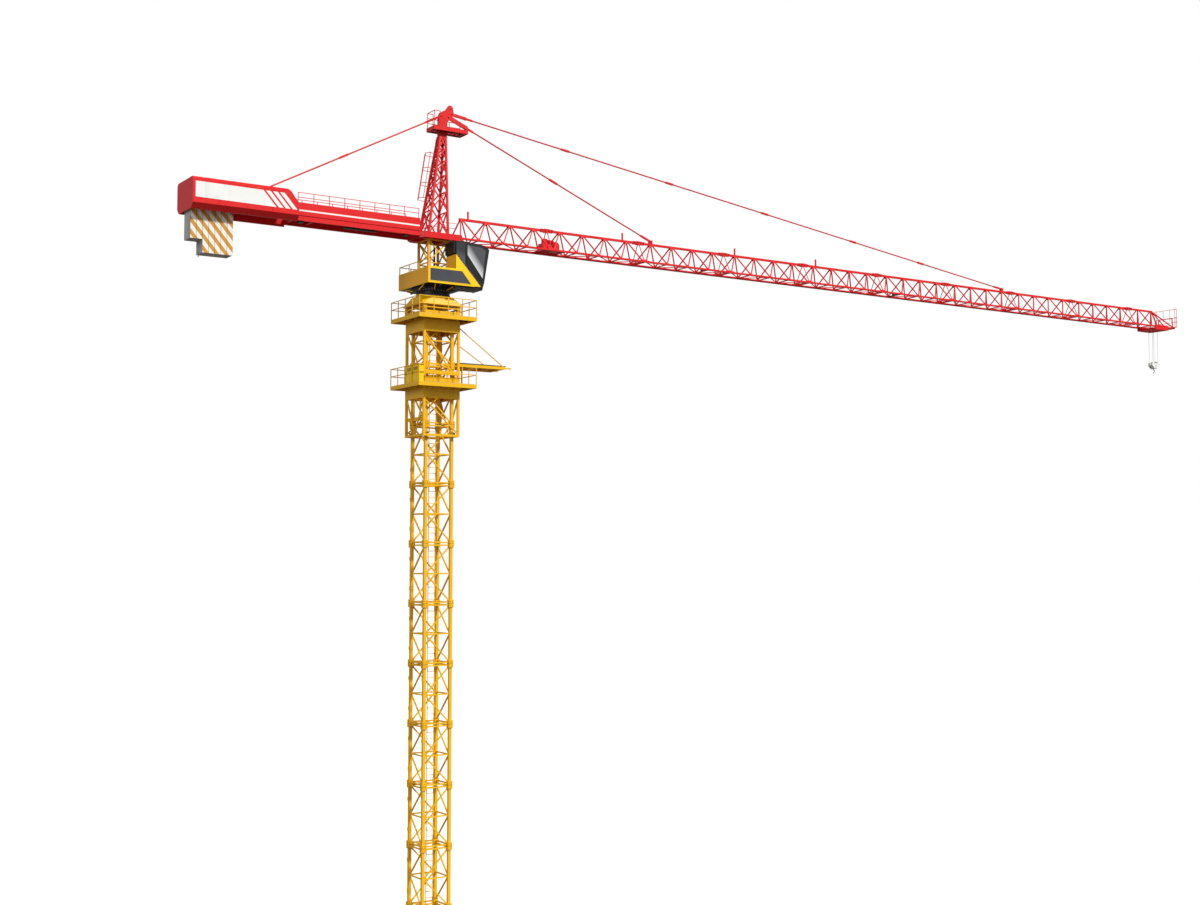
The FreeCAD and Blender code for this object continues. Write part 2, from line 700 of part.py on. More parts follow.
def section_ties():
    """Bars from the cage's posts down to the platform's side beams."""
    x0 = cage_wide / 2
    y = size("section_deck_width") / 2 - size("section_beam") / 2
    wide = cage_wide / 2 - size("cage_post") / 2
    tie = size("tie_bar")
    solids = []
    x = x0 + size("section_deck_length") - tie
    for s in (-1, 1):
        low = (x, s * y, section_deck_line(x) - 2)
        solids.append(bar((x0 - 20, s * wide, z_cage_top - 155), low, tie))
    shape = Part.makeCompound(solids)
    half = cage_wide / 2
    return shape.cut(block((-half, half), (-half, half), (z_cage, z_cage_top)))


lattice("section_platform", section_platform().fuse(section_ties()).removeSplitter())

# ---------------------------------------------------------------------------
# Slewing support, bearing and turntable
# ---------------------------------------------------------------------------
def octagon_pad(label, width, chamfer, height, z):
    """An upright eight-sided block, as a pad in the XY plane."""
    w, c = f"({width}) / 2", f"({chamfer})"
    points = [(w, f"{w} - {c}"), (f"{w} - {c}", w), (f"-({w} - {c})", w), (f"-{w}", f"{w} - {c}"),
              (f"-{w}", f"-({w} - {c})"), (f"-({w} - {c})", f"-{w}"), (f"{w} - {c}", f"-{w}"),
              (w, f"-({w} - {c})")]
    body = profile_pad(label, "XY_Plane", points, height, ("0", "0", z))
    return body


def slewing_support():
    """A ring of foot beams, a middle bar, and a box that turns from square to octagon."""
    foot, slot, mid = size("support_foot"), size("support_slot"), size("support_bar")
    half, post = cage_wide / 2 + 8, size("support_post")
    z0 = z_high_floor

    def ring(low, high, wide):
        outer = block((-half, half), (-half, half), (low, high))
        return outer.cut(block((-half + wide, half - wide), (-half + wide, half - wide),
                               (low - 5, high + 5)))

    def eight(w, c, z):
        spots = [(w, w - c), (w - c, w), (c - w, w), (-w, w - c),
                 (-w, c - w), (c - w, -w), (w - c, -w), (w, c - w)]
        points = [Vector(x, y, z) for x, y in spots]
        return Part.makePolygon(points + points[:1])
    box_low = z0 + foot + 2 * slot + mid
    outer, inner = size("support_width") / 2, size("bearing_radius") + 50
    seat = half - size("mast_width") / 2 + size("leg_size")
    shapes = [ring(z0, z0 + foot, seat), ring(z0 + foot + slot, z0 + foot + slot + mid, post / 2)]
    for sx in (-1, 1):
        for sy in (-1, 1):
            xs = sorted((sx * half, sx * (half - post)))
            ys = sorted((sy * half, sy * (half - post)))
            shapes.append(block(xs, ys, (z0, box_low + 10)))
    loft = Part.makeLoft([eight(outer, 20, box_low), eight(inner, size("support_chamfer"),
                                                           z_support_top)], True, True)
    shapes.append(loft)
    bore = Part.makeCylinder(size("bearing_bore") - 10, size("support_height") + 20,
                             Vector(0, 0, z0 - 10))
    return fused(shapes).cut(bore)


lattice("slewing_support", slewing_support())

lower_disc = rod("lower_disc", "bearing_radius", "lower_ring_height", ("0", "0", "z_support_top"))
lower_hole = rod("lower_hole", "bearing_bore", "lower_ring_height + 20",
                 ("0", "0", "z_support_top - 10"))
keep(cut("bearing_lower_ring", lower_disc, lower_hole), "bearing_lower_ring")

upper_disc = rod("upper_disc", "bearing_radius - 8", "upper_ring_height", ("0", "0", "z_race"))
table = octagon_pad("table_block", "turntable_width", "turntable_width / 4", "turntable_height",
                    "z_race_top")
table_whole = doc.addObject("Part::MultiFuse", "table_whole")
table_whole.Shapes = [upper_disc, table]
table_bore = rod("table_bore", "bearing_bore", "upper_ring_height + turntable_height + 20",
                 ("0", "0", "z_race - 10"))
keep(cut("turntable", table_whole, table_bore), "turntable")

# ---------------------------------------------------------------------------
# Slewing deck with its joists, side boards, rear board and railing
# ---------------------------------------------------------------------------
half_deck = "(deck_width / 2)"
deck_plate = box("deck_plate", ("deck_rear + deck_front", "deck_width", "floor_thickness"),
                 ("-deck_rear", f"-{half_deck}", "z_table_top"))
cab_floor_plate = box("deck_under_cab",
                      ("cab_rear + cab_floor_length - deck_front + 20", "cab_width",
                       "floor_thickness"),
                      ("deck_front - 20", f"-{half_deck}", "z_table_top"))
deck_hole = box("deck_hatch", ("tower_width - 2 * tower_leg - 40", "tower_width - 2 * tower_leg - 40",
                               "floor_thickness + 20"),
                ("-(tower_width - 2 * tower_leg - 40) / 2",
                 "-(tower_width - 2 * tower_leg - 40) / 2", "z_table_top - 10"))
plates = doc.addObject("Part::MultiFuse", "deck_plates")
plates.Shapes = [deck_plate, cab_floor_plate]
open_plate = cut("deck_open", plates, deck_hole)
joists = [open_plate]
for i, s in enumerate((-1, 1)):
    start = f"-{half_deck}" if s < 0 else "turntable_width / 2"
    for k, place in enumerate(("-turntable_width / 4", "turntable_width / 4 - 40")):
        joists.append(box(f"deck_joist_{i}{k}",
                          ("40", f"{half_deck} - turntable_width / 2", "turntable_height * 0.6"),
                          (place, start, "z_table_top - turntable_height * 0.6")))
joists.append(box("cab_joist", ("cab_rear + cab_floor_length - turntable_width / 4 - 10", "40",
                                "turntable_height * 0.6"),
                  ("turntable_width / 4 - 10", f"-{half_deck} + 60",
                   "z_table_top - turntable_height * 0.6")))


def deck_braces():
    """Struts from the turntable's rim out to the edges of the slewing deck."""
    rim, edge, web = size("turntable_width") / 2 - 12, size("deck_width") / 2 - 30, 16
    low, high = z_race_top + 10, z_table_top - 1
    bars = []
    for s in (-1, 1):
        for x in (-0.45, 0.3):
            bars.append(bar((x * rim, s * rim, low), (x * rim * 1.6, s * edge, high), web))
        bars.append(bar((-rim, s * rim * 0.35, low), (-size("deck_rear") + 20, s * edge * 0.7, high),
                        web))
    table = block((-rim - 12, rim + 12), (-rim - 12, rim + 12), (z_race, z_deck))
    return Part.makeCompound(bars).cut(table)


braces = doc.addObject("Part::Feature", "deck_braces")
braces.Shape = deck_braces()
joined("slewing_deck", joists + [braces])

board_points = [("-deck_rear - board_thickness", "0"), ("deck_front", "0"),
                ("deck_front - board_slope", "board_height"),
                ("-deck_rear - board_thickness", "board_height")]
right_board = profile_pad("side_board_right", "XZ_Plane", board_points, "board_thickness",
                          ("0", f"-{half_deck} - cab_panel_thickness - 1", "z_table_top"))
left_board = profile_pad("side_board_left", "XZ_Plane", board_points, "board_thickness",
                         ("0", f"{half_deck}", "z_table_top"), far=True)
rear_board = box("rear_board",
                 ("board_thickness", "deck_width + cab_panel_thickness + 2", "board_height"),
                 ("-deck_rear - board_thickness", f"-{half_deck} - cab_panel_thickness - 2",
                  "z_table_top"))
joined("deck_boards", [right_board, left_board, rear_board])


def deck_railing():
    """Rail along the rear and left edges of the slewing deck."""
    half, rail = size("deck_width") / 2, size("rail_size")
    return railing(-size("deck_rear"), size("deck_front") - size("board_slope"), -half, half,
                   z_deck, size("deck_rail_height"), 3, rail, rail / 2, "rear left")


lattice("deck_railing", deck_railing())

# ---------------------------------------------------------------------------
# Cab: a closed shell with window openings, its panes and the coloured side panel
# ---------------------------------------------------------------------------
CAB = [("0", "0"), ("cab_floor_length", "0"), ("cab_floor_length + 35", "105"),
       ("cab_length", "cab_height - 145"), ("cab_length - 40", "cab_height - 100"),
       ("cab_length - 220", "cab_height - 30"), ("290", "cab_height"), ("0", "cab_height")]
wall = "cab_wall"
CAVITY = [(wall, wall), (f"cab_floor_length - {wall}", wall),
          (f"cab_floor_length + 35 - {wall}", "105"),
          (f"cab_length - {wall}", "cab_height - 145"),
          (f"cab_length - 40 - {wall}", f"cab_height - 100 - {wall}"),
          (f"cab_length - 220 - {wall}", f"cab_height - 30 - {wall}"),
          ("290", f"cab_height - {wall}"), (wall, f"cab_height - {wall}")]
cab_y = f"-{half_deck} + cab_width"
cab_solid = profile_pad("cab_solid", "XZ_Plane", CAB, "cab_width", ("cab_rear", cab_y, "z_deck"))
cab_room = profile_pad("cab_room", "XZ_Plane", CAVITY, f"cab_width - 2 * {wall}",
                       ("cab_rear", f"{cab_y} - {wall}", "z_deck"))
cab_hollow = cut("cab_hollow", cab_solid, cab_room)
# side windows, one opening through both side walls, and the front windows
SIDE_WINDOW = [("330", "cab_height - 330"), ("330", "cab_height - 70"),
               ("cab_length - 240", "cab_height - 90"), ("cab_length - 95", "cab_height - 165"),
               ("cab_floor_length - 15", "150"), ("cab_floor_length - 90", "150")]
window_cut = profile_pad("window_cut", "XZ_Plane", SIDE_WINDOW, "cab_width + 40",
                         ("cab_rear", f"{cab_y} + 20", "z_deck"))
cab_sides_open = cut("cab_sides_open", cab_hollow, window_cut)
FRONT_WINDOW = [("cab_floor_length - 60", "150"), ("cab_length + 60", "150"),
                ("cab_length + 60", "cab_height - 190"), ("cab_length - 90", "cab_height - 190")]
front_cut = profile_pad("front_cut", "XZ_Plane", FRONT_WINDOW, "cab_width - 90",
                        ("cab_rear", f"{cab_y} - 45", "z_deck"))
keep(cut("cab_shell", cab_sides_open, front_cut), "cab_shell")


def cab_glass():
    """The panes: two side windows and the front window, set in the openings."""
    points = [Vector(*p) for p in (
        (330, 0, size("cab_height") - 330), (330, 0, size("cab_height") - 70),
        (size("cab_length") - 240, 0, size("cab_height") - 90),
        (size("cab_length") - 95, 0, size("cab_height") - 165),
        (size("cab_floor_length") - 15, 0, 150), (size("cab_floor_length") - 90, 0, 150))]
    pane = Part.Face(Part.makePolygon(points + points[:1]))
    thick, wide = size("glass_thickness"), size("cab_width")
    origin = Vector(size("cab_rear"), -size("deck_width") / 2, z_deck)
    inset = (size("cab_wall") - thick) / 2
    solids = []
    for y in (inset, wide - inset - thick):
        solid = pane.extrude(Vector(0, thick, 0))
        solid.translate(origin + Vector(0, y, 0))
        solids.append(solid)
    x_low = size("cab_floor_length") + 35
    low, high = 105.0, size("cab_height") - 145
    slope = (size("cab_length") - x_low) / (high - low)
    z0, z1 = 150.0, size("cab_height") - 190

    def front(z, back):
        return x_low + (z - low) * slope - back
    quad = [Vector(front(z0, inset), 0, z0), Vector(front(z1, inset), 0, z1),
            Vector(front(z1, inset + thick), 0, z1), Vector(front(z0, inset + thick), 0, z0)]
    face = Part.Face(Part.makePolygon(quad + quad[:1]))
    solid = face.extrude(Vector(0, wide - 90, 0))
    solid.translate(origin + Vector(0, 45, 0))
    solids.append(solid)
    return Part.makeCompound(solids)


lattice("cab_glass", cab_glass())

PANEL = [("0", "0"), ("725", "0"), ("0", "785")]
keep(profile_pad("cab_side_panel", "XZ_Plane", PANEL, "cab_panel_thickness",
                 ("cab_rear", f"-{half_deck}", "z_deck")), "cab_side_panel")

# ---------------------------------------------------------------------------
# Slewing tower: a square lattice between the turntable deck and the base frame
# ---------------------------------------------------------------------------
def slewing_tower():
    half, leg, lace = size("tower_width") / 2, size("tower_leg"), size("tower_lacing")
    c = half - leg / 2
    low, high = z_deck, z_frame
    middle = (low + high) / 2
    bars = []
    for sx in (-1, 1):
        for sy in (-1, 1):
            x, y = sx * c, sy * c
            bars.append(block((x - leg / 2, x + leg / 2), (y - leg / 2, y + leg / 2), (low, high)))
    for s in (-1, 1):
        for a, b in ((low, middle), (middle, high)):
            bars.append(bar((-c, s * c, a + lace), (c, s * c, b - lace), lace))
            bars.append(bar((c, s * c, a + lace), (-c, s * c, b - lace), lace))
            bars.append(bar((s * c, -c, a + lace), (s * c, c, b - lace), lace, normal=(1, 0, 0)))
            bars.append(bar((s * c, c, a + lace), (s * c, -c, b - lace), lace, normal=(1, 0, 0)))
        for z in (low + lace / 2, middle, high - lace / 2):
            bars.append(bar((-c, s * c, z), (c, s * c, z), lace))
            bars.append(bar((s * c, -c, z), (s * c, c, z), lace, normal=(1, 0, 0)))
    return fused(bars)


lattice("slewing_tower", slewing_tower())

# ---------------------------------------------------------------------------
# Base frame of the upper works: boarded platform on two long and three cross beams
# ---------------------------------------------------------------------------
wide = "frame_width / 2"
FRAME = [("frame_front", f"-({wide})"), ("frame_front", wide), ("-frame_rear + frame_corner", wide),
         ("-frame_rear", f"{wide} - frame_corner"), ("-frame_rear", f"-({wide} - frame_corner)"),
         ("-frame_rear + frame_corner", f"-({wide})")]
b = "frame_board"
FRAME_IN = [(f"frame_front - {b}", f"-({wide} - {b})"), (f"frame_front - {b}", f"{wide} - {b}"),
            (f"-frame_rear + frame_corner + {b} / 2", f"{wide} - {b}"),
            (f"-frame_rear + {b}", f"{wide} - frame_corner - {b} / 2"),
            (f"-frame_rear + {b}", f"-({wide} - frame_corner - {b} / 2)"),
            (f"-frame_rear + frame_corner + {b} / 2", f"-({wide} - {b})")]
frame_outer = profile_pad("frame_outer", "XY_Plane", FRAME, "frame_height", ("0", "0", "z_frame"))
frame_inner = profile_pad("frame_inner", "XY_Plane", FRAME_IN, "frame_height + 20",
                          ("0", "0", "z_frame - 10"))
frame_parts = [cut("frame_boards", frame_outer, frame_inner)]
frame_parts.append(profile_pad("frame_floor", "XY_Plane", FRAME, "floor_thickness",
                               ("0", "0", "z_frame + frame_height / 2")))
leg_line = "(tower_width / 2 - tower_leg / 2)"
for i, s in enumerate((-1, 1)):
    frame_parts.append(box(f"frame_long_{i}",
                           ("frame_rear + frame_front - 2", "frame_beam", "frame_height"),
                           ("-frame_rear + 1", f"{s} * (jib_width / 2 - 10) - frame_beam / 2",
                            "z_frame")))
    frame_parts.append(box(f"frame_cross_{i}", ("frame_beam", "frame_width - 2", "frame_height"),
                           (f"{s} * {leg_line} - frame_beam / 2", "-frame_width / 2 + 1",
                            "z_frame")))
joined("jib_base_frame", frame_parts)


# ---------------------------------------------------------------------------
# Tower head: four tapering flat sides that lean to the jib's side
# ---------------------------------------------------------------------------
def head_line(front, side, z):
    """Centre of a head leg at a height: front or rear leg, side -1 or 1."""
    c = size("tower_width") / 2 - size("tower_leg") / 2
    t = (z - z_frame_top) / (z_head - z_frame_top)
    top_x = size("head_front") if front else size("head_rear")
    top_y = size("head_top_width") / 2 - size("tower_leg") / 2
    x = (c if front else -c) * (1 - t) + top_x * t
    return (x, side * (c * (1 - t) + top_y * t), z)


def head_levels(panels):
    """Panel heights that shrink towards the top, as the head gets narrower."""
    shares = [0.84 ** k for k in range(panels)]
    z, found = z_frame_top, [z_frame_top]
    for share in shares:
        z += (z_head - z_frame_top) * share / sum(shares)
        found.append(z)
    return found


def head_clip():
    """The head's height between its foot and its top."""
    return block((-900, 900), (-500, 500), (z_frame_top, z_head))


def head_side(side):
    """Two legs and their X lacing, in the plane at one side of the jib."""
    leg, lace = size("tower_leg"), size("tower_lacing")
    over = 60
    lean = Vector(*head_line(True, side, z_head)) - Vector(*head_line(True, side, z_frame_top))
    normal = tuple(lean.cross(Vector(1, 0, 0)).normalize())
    bars = []
    for front in (True, False):
        foot, top = head_line(front, side, z_frame_top - over), head_line(front, side, z_head + over)
        bars.append(bar(foot, top, leg, normal=normal))
    marks = head_levels(6)
    for low, high in zip(marks, marks[1:]):
        bars.append(bar(head_line(True, side, low), head_line(False, side, high), lace,
                        normal=normal))
        bars.append(bar(head_line(False, side, low), head_line(True, side, high), lace,
                        normal=normal))
    bars.append(bar(head_line(True, side, z_head - lace), head_line(False, side, z_head - lace),
                    lace, normal=normal))
    return fused(bars).common(head_clip()).removeSplitter()


def head_cross(front):
    """X lacing and struts between the two sides, at the front or at the rear."""
    lace = size("tower_lacing")
    lean = Vector(*head_line(front, 1, z_head)) + Vector(*head_line(front, -1, z_head))
    base = Vector(*head_line(front, 1, z_frame_top)) + Vector(*head_line(front, -1, z_frame_top))
    normal = tuple((lean - base).cross(Vector(0, 1, 0)).normalize())
    bars = []
    marks = head_levels(6)
    for low, high in zip(marks, marks[1:]):
        for s in (-1, 1):
            bars.append(bar(head_line(front, s, low), head_line(front, -s, high), lace,
                            normal=normal))
        bars.append(bar(head_line(front, -1, high - lace), head_line(front, 1, high - lace), lace,
                        normal=normal))
    return fused(bars).common(head_clip())


right_side, left_side = head_side(-1), head_side(1)
lattice("head_side_right", right_side)
lattice("head_side_left", left_side)
both_sides = right_side.fuse(left_side)
rear_lacing = head_cross(False).cut(both_sides)
front_lacing = head_cross(True).cut(both_sides)
lattice("head_cross_lacing", Part.makeCompound(rear_lacing.Solids + front_lacing.Solids))

# Head: two cheeks on a foot plate, with the pins of the three ties and the sheave's axle
PINS = {"rear": (190, 560), "inner": (400, 565), "outer": (492, 650)}
AXLE = (455, 790)
CHEEK = [("head_rear - tower_leg / 2 - 4", "0"), ("head_front + tower_leg / 2 + 20", "0"),
         ("head_front + 70", "430"), ("450", "500"), ("545", "610"), ("545", "690"),
         ("505", "850"), ("405", "850"), ("330", "745"), ("150", "640"),
         ("head_rear - tower_leg / 2 - 4", "520")]
gap = "(head_gap / 2)"
head_parts = []
for i, s in enumerate((-1, 1)):
    start = f"-{gap}" if s < 0 else f"{gap} + head_plate"
    head_parts.append(profile_pad(f"head_cheek_{i}", "XZ_Plane", CHEEK, "head_plate",
                                  ("0", start, "z_head")))
head_parts.append(box("head_foot", ("head_front - head_rear + tower_leg + 20", "head_top_width",
                                    "head_plate"),
                      ("head_rear - tower_leg / 2 - 2", "-head_top_width / 2", "z_head")))
head_parts.append(box("head_back", ("head_plate", "head_gap + 4", "420"),
                      ("head_rear - tower_leg / 2 - 2", f"-{gap} - 2", "z_head")))
for name, (px, pz) in {**PINS, "sheave": AXLE}.items():
    head_parts.append(rod(f"head_pin_{name}", "pin_radius", "head_gap + 2 * head_plate + 12",
                          (str(px), f"{gap} + head_plate + 6", f"z_head + {pz}"),
                          ((1, 0, 0), 90)))
joined("tower_head", head_parts)

sheave_disc = rod("sheave_disc", "sheave_radius", "sheave_width",
                  (str(AXLE[0]), "sheave_width / 2", f"z_head + {AXLE[1]}"), ((1, 0, 0), 90))
sheave_hole = rod("sheave_hole", "pin_radius + pin_play", "sheave_width + 20",
                  (str(AXLE[0]), "sheave_width / 2 + 10", f"z_head + {AXLE[1]}"),
                  ((1, 0, 0), 90))
keep(cut("head_sheave", sheave_disc, sheave_hole), "head_sheave")

# Top platform on two long beams that hold the cheeks between them
deck_z = "z_head + top_deck_rise"
cheek_face = f"({gap} + head_plate)"
top_parts = [ring_box("top_board",
                      ("-top_deck_rear", "top_deck_front", "-top_deck_width / 2",
                       "top_deck_width / 2"),
                      ("-top_deck_rear + frame_board", "top_deck_front - frame_board",
                       "-top_deck_width / 2 + frame_board", "top_deck_width / 2 - frame_board"),
                      "top_deck_depth", deck_z)]
for i, s in enumerate((-1, 1)):
    start = f"-{cheek_face} - 30" if s < 0 else cheek_face
    top_parts.append(box(f"top_beam_{i}", ("top_deck_rear + top_deck_front - 4", "30", "70"),
                         ("-top_deck_rear + 2", start, deck_z)))
    side_start = "-top_deck_width / 2 + 2" if s < 0 else f"{cheek_face} + 10"
    top_parts.append(box(f"top_floor_{i}",
                         ("top_deck_rear + top_deck_front - 4",
                          f"top_deck_width / 2 - {cheek_face} - 12", "8"),
                         ("-top_deck_rear + 2", side_start, f"{deck_z} + 62")))
for i, place in enumerate(("-top_deck_rear + 90", "head_front + 240", "top_deck_front - 110")):
    top_parts.append(box(f"top_joist_{i}", ("30", "top_deck_width - 4", "62"),
                         (place, "-top_deck_width / 2 + 2", deck_z)))
top_platform = doc.addObject("Part::MultiFuse", "top_platform_whole")
top_platform.Shapes = top_parts
cheek_room = box("cheek_room", ("head_front - head_rear + 360", f"2 * {cheek_face}", "300"),
                 ("head_rear - 60", f"-{cheek_face}", "z_head"))
top_open = cut("top_platform_open", top_platform, cheek_room)


def top_railing():
    """Rails round the top platform's rear end, and the far side's full length."""
    half, rail = size("top_deck_width") / 2, size("rail_size") * 0.8
    inset = size("frame_board") + rail / 2 - 1
    floor = z_head + size("top_deck_rise") + 70
    tall = size("top_rail_height") + size("top_deck_depth") - 70
    x0, x1 = -size("top_deck_rear"), size("top_deck_front")
    rear = railing(x0, x0 + size("top_rail_length"), -half, half, floor, tall, 1, rail, inset,
                   "front left rear", middle=False)
    far = railing(x0, x1, -half, half, floor, tall * 0.7, 3, rail, inset, "rear")
    return rear.fuse(far).removeSplitter()


rail_shape = doc.addObject("Part::Feature", "top_railing")
rail_shape.Shape = top_railing()
joined("top_platform", [top_open, rail_shape])


def head_ladder():
    """Ladder on the rear struts of the tower head, with square hoops round it."""
    lace, rail = size("tower_lacing"), size("ladder_bar")
    a, b = Vector(*head_line(False, 0, z_frame_top)), Vector(*head_line(False, 0, z_head))
    a.y = b.y = 0
    run = (b - a).normalize()
    out = run.cross(Vector(0, 1, 0)).normalize()
    if out.x > 0:
        out = out * -1
    length = (b - a).Length
    wide, reach = size("ladder_width"), size("hoop_reach")
    normal = tuple(out)

    def spot(u, w, n):
        p = a + run * w + out * (lace / 2 + rail / 2 + n)
        return (p.x, u, p.z)
    bars = [bar(spot(s * wide / 2, 8, 0), spot(s * wide / 2, length - 40, 0), rail,
                normal=normal) for s in (-1, 1)]
    w = size("rung_pitch")
    while w < length - 60:
        bars.append(bar(spot(-wide / 2, w, 0), spot(wide / 2, w, 0), rail * 0.8, normal=normal))
        w += size("rung_pitch")
    thin = rail * 0.75
    low, high = 0.34 * length, 0.8 * length
    for k in range(4):
        w = low + (high - low) * k / 3
        y = wide * 0.85
        ring = [spot(-wide / 2, w, 0), spot(-y, w, reach * 0.3), spot(-y, w, reach * 0.8),
                spot(0, w, reach), spot(y, w, reach * 0.8), spot(y, w, reach * 0.3),
                spot(wide / 2, w, 0)]
        for p, q in zip(ring, ring[1:]):
            bars.append(bar(p, q, thin, normal=tuple(run)))
    for u, n in ((-wide * 0.85, reach * 0.8), (0, reach), (wide * 0.85, reach * 0.8)):
        bars.append(bar(spot(u, low - 20, n), spot(u, high + 20, n), thin, normal=normal))
    return fused(bars)


both_lacings = rear_lacing.fuse(both_sides)
lattice("head_ladder", head_ladder().cut(both_lacings).cut(
    block((-2000, 2000), (-500, 500), (z_frame_top - 400, z_frame_top))))


# ---------------------------------------------------------------------------
# Jib: the upper chord, two leaning webs with their lower chords, the bottom lacing
# ---------------------------------------------------------------------------
def apexes():
    """Places of the apexes: four to a section, two in the end section."""
    pitch, found = size("apex_pitch"), []
    for k in range(int(size("jib_sections"))):
        found += [size("first_apex") + k * size("jib_section") + i * pitch for i in range(4)]
    found += [x_last - pitch, x_last]
    return found


def splices():
    """Places of the splice lugs, in the middle of the gap between sections."""
    found = []
    for k in range(int(size("jib_sections"))):
        last = size("first_apex") + k * size("jib_section") + 3 * size("apex_pitch")
        after = size("first_apex") + (k + 1) * size("jib_section")
        found.append((last + after) / 2)
    return found


def upper_chord():
    """The upper chord with its splice lugs, tie lugs and short posts."""
    half, lug, tall = size("upper_chord") / 2, size("lug_length") / 2, size("lug_height") / 2
    start, end = size("first_apex") - 60, x_last + 60
    bars = [block((start, end), (-half, half), (z_upper - half, z_upper + half))]
    for x in splices():
        bars.append(block((x - lug, x + lug), (-half - 9, half + 9),
                          (z_upper - tall, z_upper + tall)))
        bars.append(block((x - lug * 0.45, x + lug * 0.45), (-half - 14, half + 14),
                          (z_upper - tall - 8, z_upper + tall + 8)))
    for x in (1000, 5850, 9800, 12900):
        bars.append(block((x - 18, x + 18), (-18, 18), (z_upper, z_upper + 230)))
    ear = size("head_gap") / 2
    for x, z in JIB_PINS:
        for sign in (-1, 1):
            bars.append(block((x - 55, x + 55), sorted((sign * ear, sign * (ear + 12))),
                              (z_upper, z + 34)))
        bars.append(Part.makeCylinder(size("pin_radius"), 2 * ear + 36,
                                      Vector(x, -ear - 18, z), Vector(0, 1, 0)))
    return fused(bars)


tie_rise = size("upper_chord") / 2 + 60
JIB_PINS = [(apexes()[8], z_upper + tie_rise), (apexes()[27], z_upper + tie_rise)]
chord_shape = upper_chord()
lattice("jib_upper_chord", chord_shape)


def jib_web(side):
    """The lower chord at one side with its wheel ledge, and the web's diagonals."""
    half, chord, web = size("jib_width") / 2, size("lower_chord") / 2, size("web_size")
    y = side * half
    start = size("frame_front")
    end = x_tip - 130
    lean = Vector(0, -side * half, size("jib_depth"))
    normal = tuple(lean.cross(Vector(1, 0, 0)).normalize())
    top_y, top_z = side * size("upper_chord") * 0.3, z_upper
    bars = [block((start, end), (y - chord, y + chord), (z_chord - chord, z_chord + chord))]
    ledge = sorted((side * (half + chord - 1), side * (half + chord + size("ledge_width"))))
    bars.append(block((start, end), ledge,
                      (z_chord - chord, z_chord - chord + size("ledge_thickness"))))
    reach = size("apex_pitch") / 2
    for x in apexes():
        for s in (-1, 1):
            foot = max(x + s * reach, start + 25)
            bars.append(bar((foot, y, z_chord), (x + s * 20, top_y, top_z), web, normal=normal))
    for x in splices():
        bars.append(bar((x, y, z_chord), (x, top_y, top_z), web * 0.6, normal=normal))
    shape = fused(bars)
    side_box = block((0, x_tip), sorted((0.6 * side, side * 600)),
                     (z_chord - 100, z_upper + 100))
    return shape.common(side_box).cut(chord_shape).removeSplitter()


near_web = jib_web(-1)
far_web = jib_web(1)
lattice("jib_web_right", near_web)
lattice("jib_web_left", far_web)


def jib_bottom():
    """Struts between the lower chords at each foot of the webs, and diagonals."""
    half = size("jib_width") / 2 - size("lower_chord") / 2
    web, reach = size("web_size"), size("apex_pitch") / 2
    feet = [size("frame_front") + web]
    for x in apexes():
        feet += [x - reach, x + reach]
    feet = sorted({round(f, 2) for f in feet if f > size("frame_front") + web / 2})
    feet.append(x_tip - 160)
    bars = []
    for x in feet:
        bars.append(bar((x, -half, z_chord), (x, half, z_chord), web, normal=(0, 0, 1)))
    sign = 1
    for a, b in zip(feet, feet[1:]):
        if b - a > 250:
            bars.append(bar((a, -sign * (half + 5), z_chord), (b, sign * (half + 5), z_chord),
                            web * 0.8, normal=(0, 0, 1)))
            sign = -sign
    for s in (-1, 1):
        y = s * (half - web / 2)
        bars.append(block((feet[0], feet[-1]), (y - web / 2, y + web / 2),
                          (z_chord - web / 2, z_chord + web / 2)))
    slab = block((0, x_tip), (-half, half), (z_chord - 60, z_chord + 60))
    return fused(bars).common(slab).cut(near_web.fuse(far_web)).removeSplitter()


lattice("jib_bottom_lacing", jib_bottom())


def jib_tip():
    """The sloping end frame, its platform beyond the last apex, and the railing."""
    half, chord, web = size("jib_width") / 2, size("lower_chord") / 2, size("web_size")
    low, z0 = x_tip - 130, z_chord
    bars = [block((low, x_tip), (-half - chord, half + chord), (z0 - chord, z0 + chord))]
    for s in (-1, 1):
        bars.append(bar((x_last + 60, s * 12, z_upper - 10), (low + 60, s * half, z0 + chord - 5),
                        web * 1.2, normal=(1, 0, 0)))
        bars.append(bar((low + 40, s * half, z0), (low + 40, s * half * 0.9, z0 + 360), web,
                        normal=(1, 0, 0)))
    bars.append(block((low + 26, low + 54), (-half * 0.9 - 14, half * 0.9 + 14),
                      (z0 + 346, z0 + 374)))
    bars.append(block((low + 5, x_tip - 5), (-half - chord - 100, half + chord + 100),
                      (z0 + chord, z0 + chord + 10)))
    rail = size("rail_size") * 0.8
    for s in (-1, 1):
        y = s * (half + chord + 90)
        for x in (low + 15, x_tip - 15):
            bars.append(block((x - rail / 2, x + rail / 2), (y - rail / 2, y + rail / 2),
                              (z0 + chord, z0 + 380)))
        for z in (z0 + 215, z0 + 380 - rail / 2):
            bars.append(block((low + 15, x_tip - 15), (y - rail / 2, y + rail / 2),
                              (z - rail / 2, z + rail / 2)))
    for z in (z0 + 215, z0 + 380 - rail / 2):
        y = half + chord + 90
        bars.append(block((x_tip - 15 - rail / 2, x_tip - 15 + rail / 2), (-y, y),
                          (z - rail / 2, z + rail / 2)))
    return fused(bars).cut(chord_shape)


lattice("jib_tip", jib_tip())


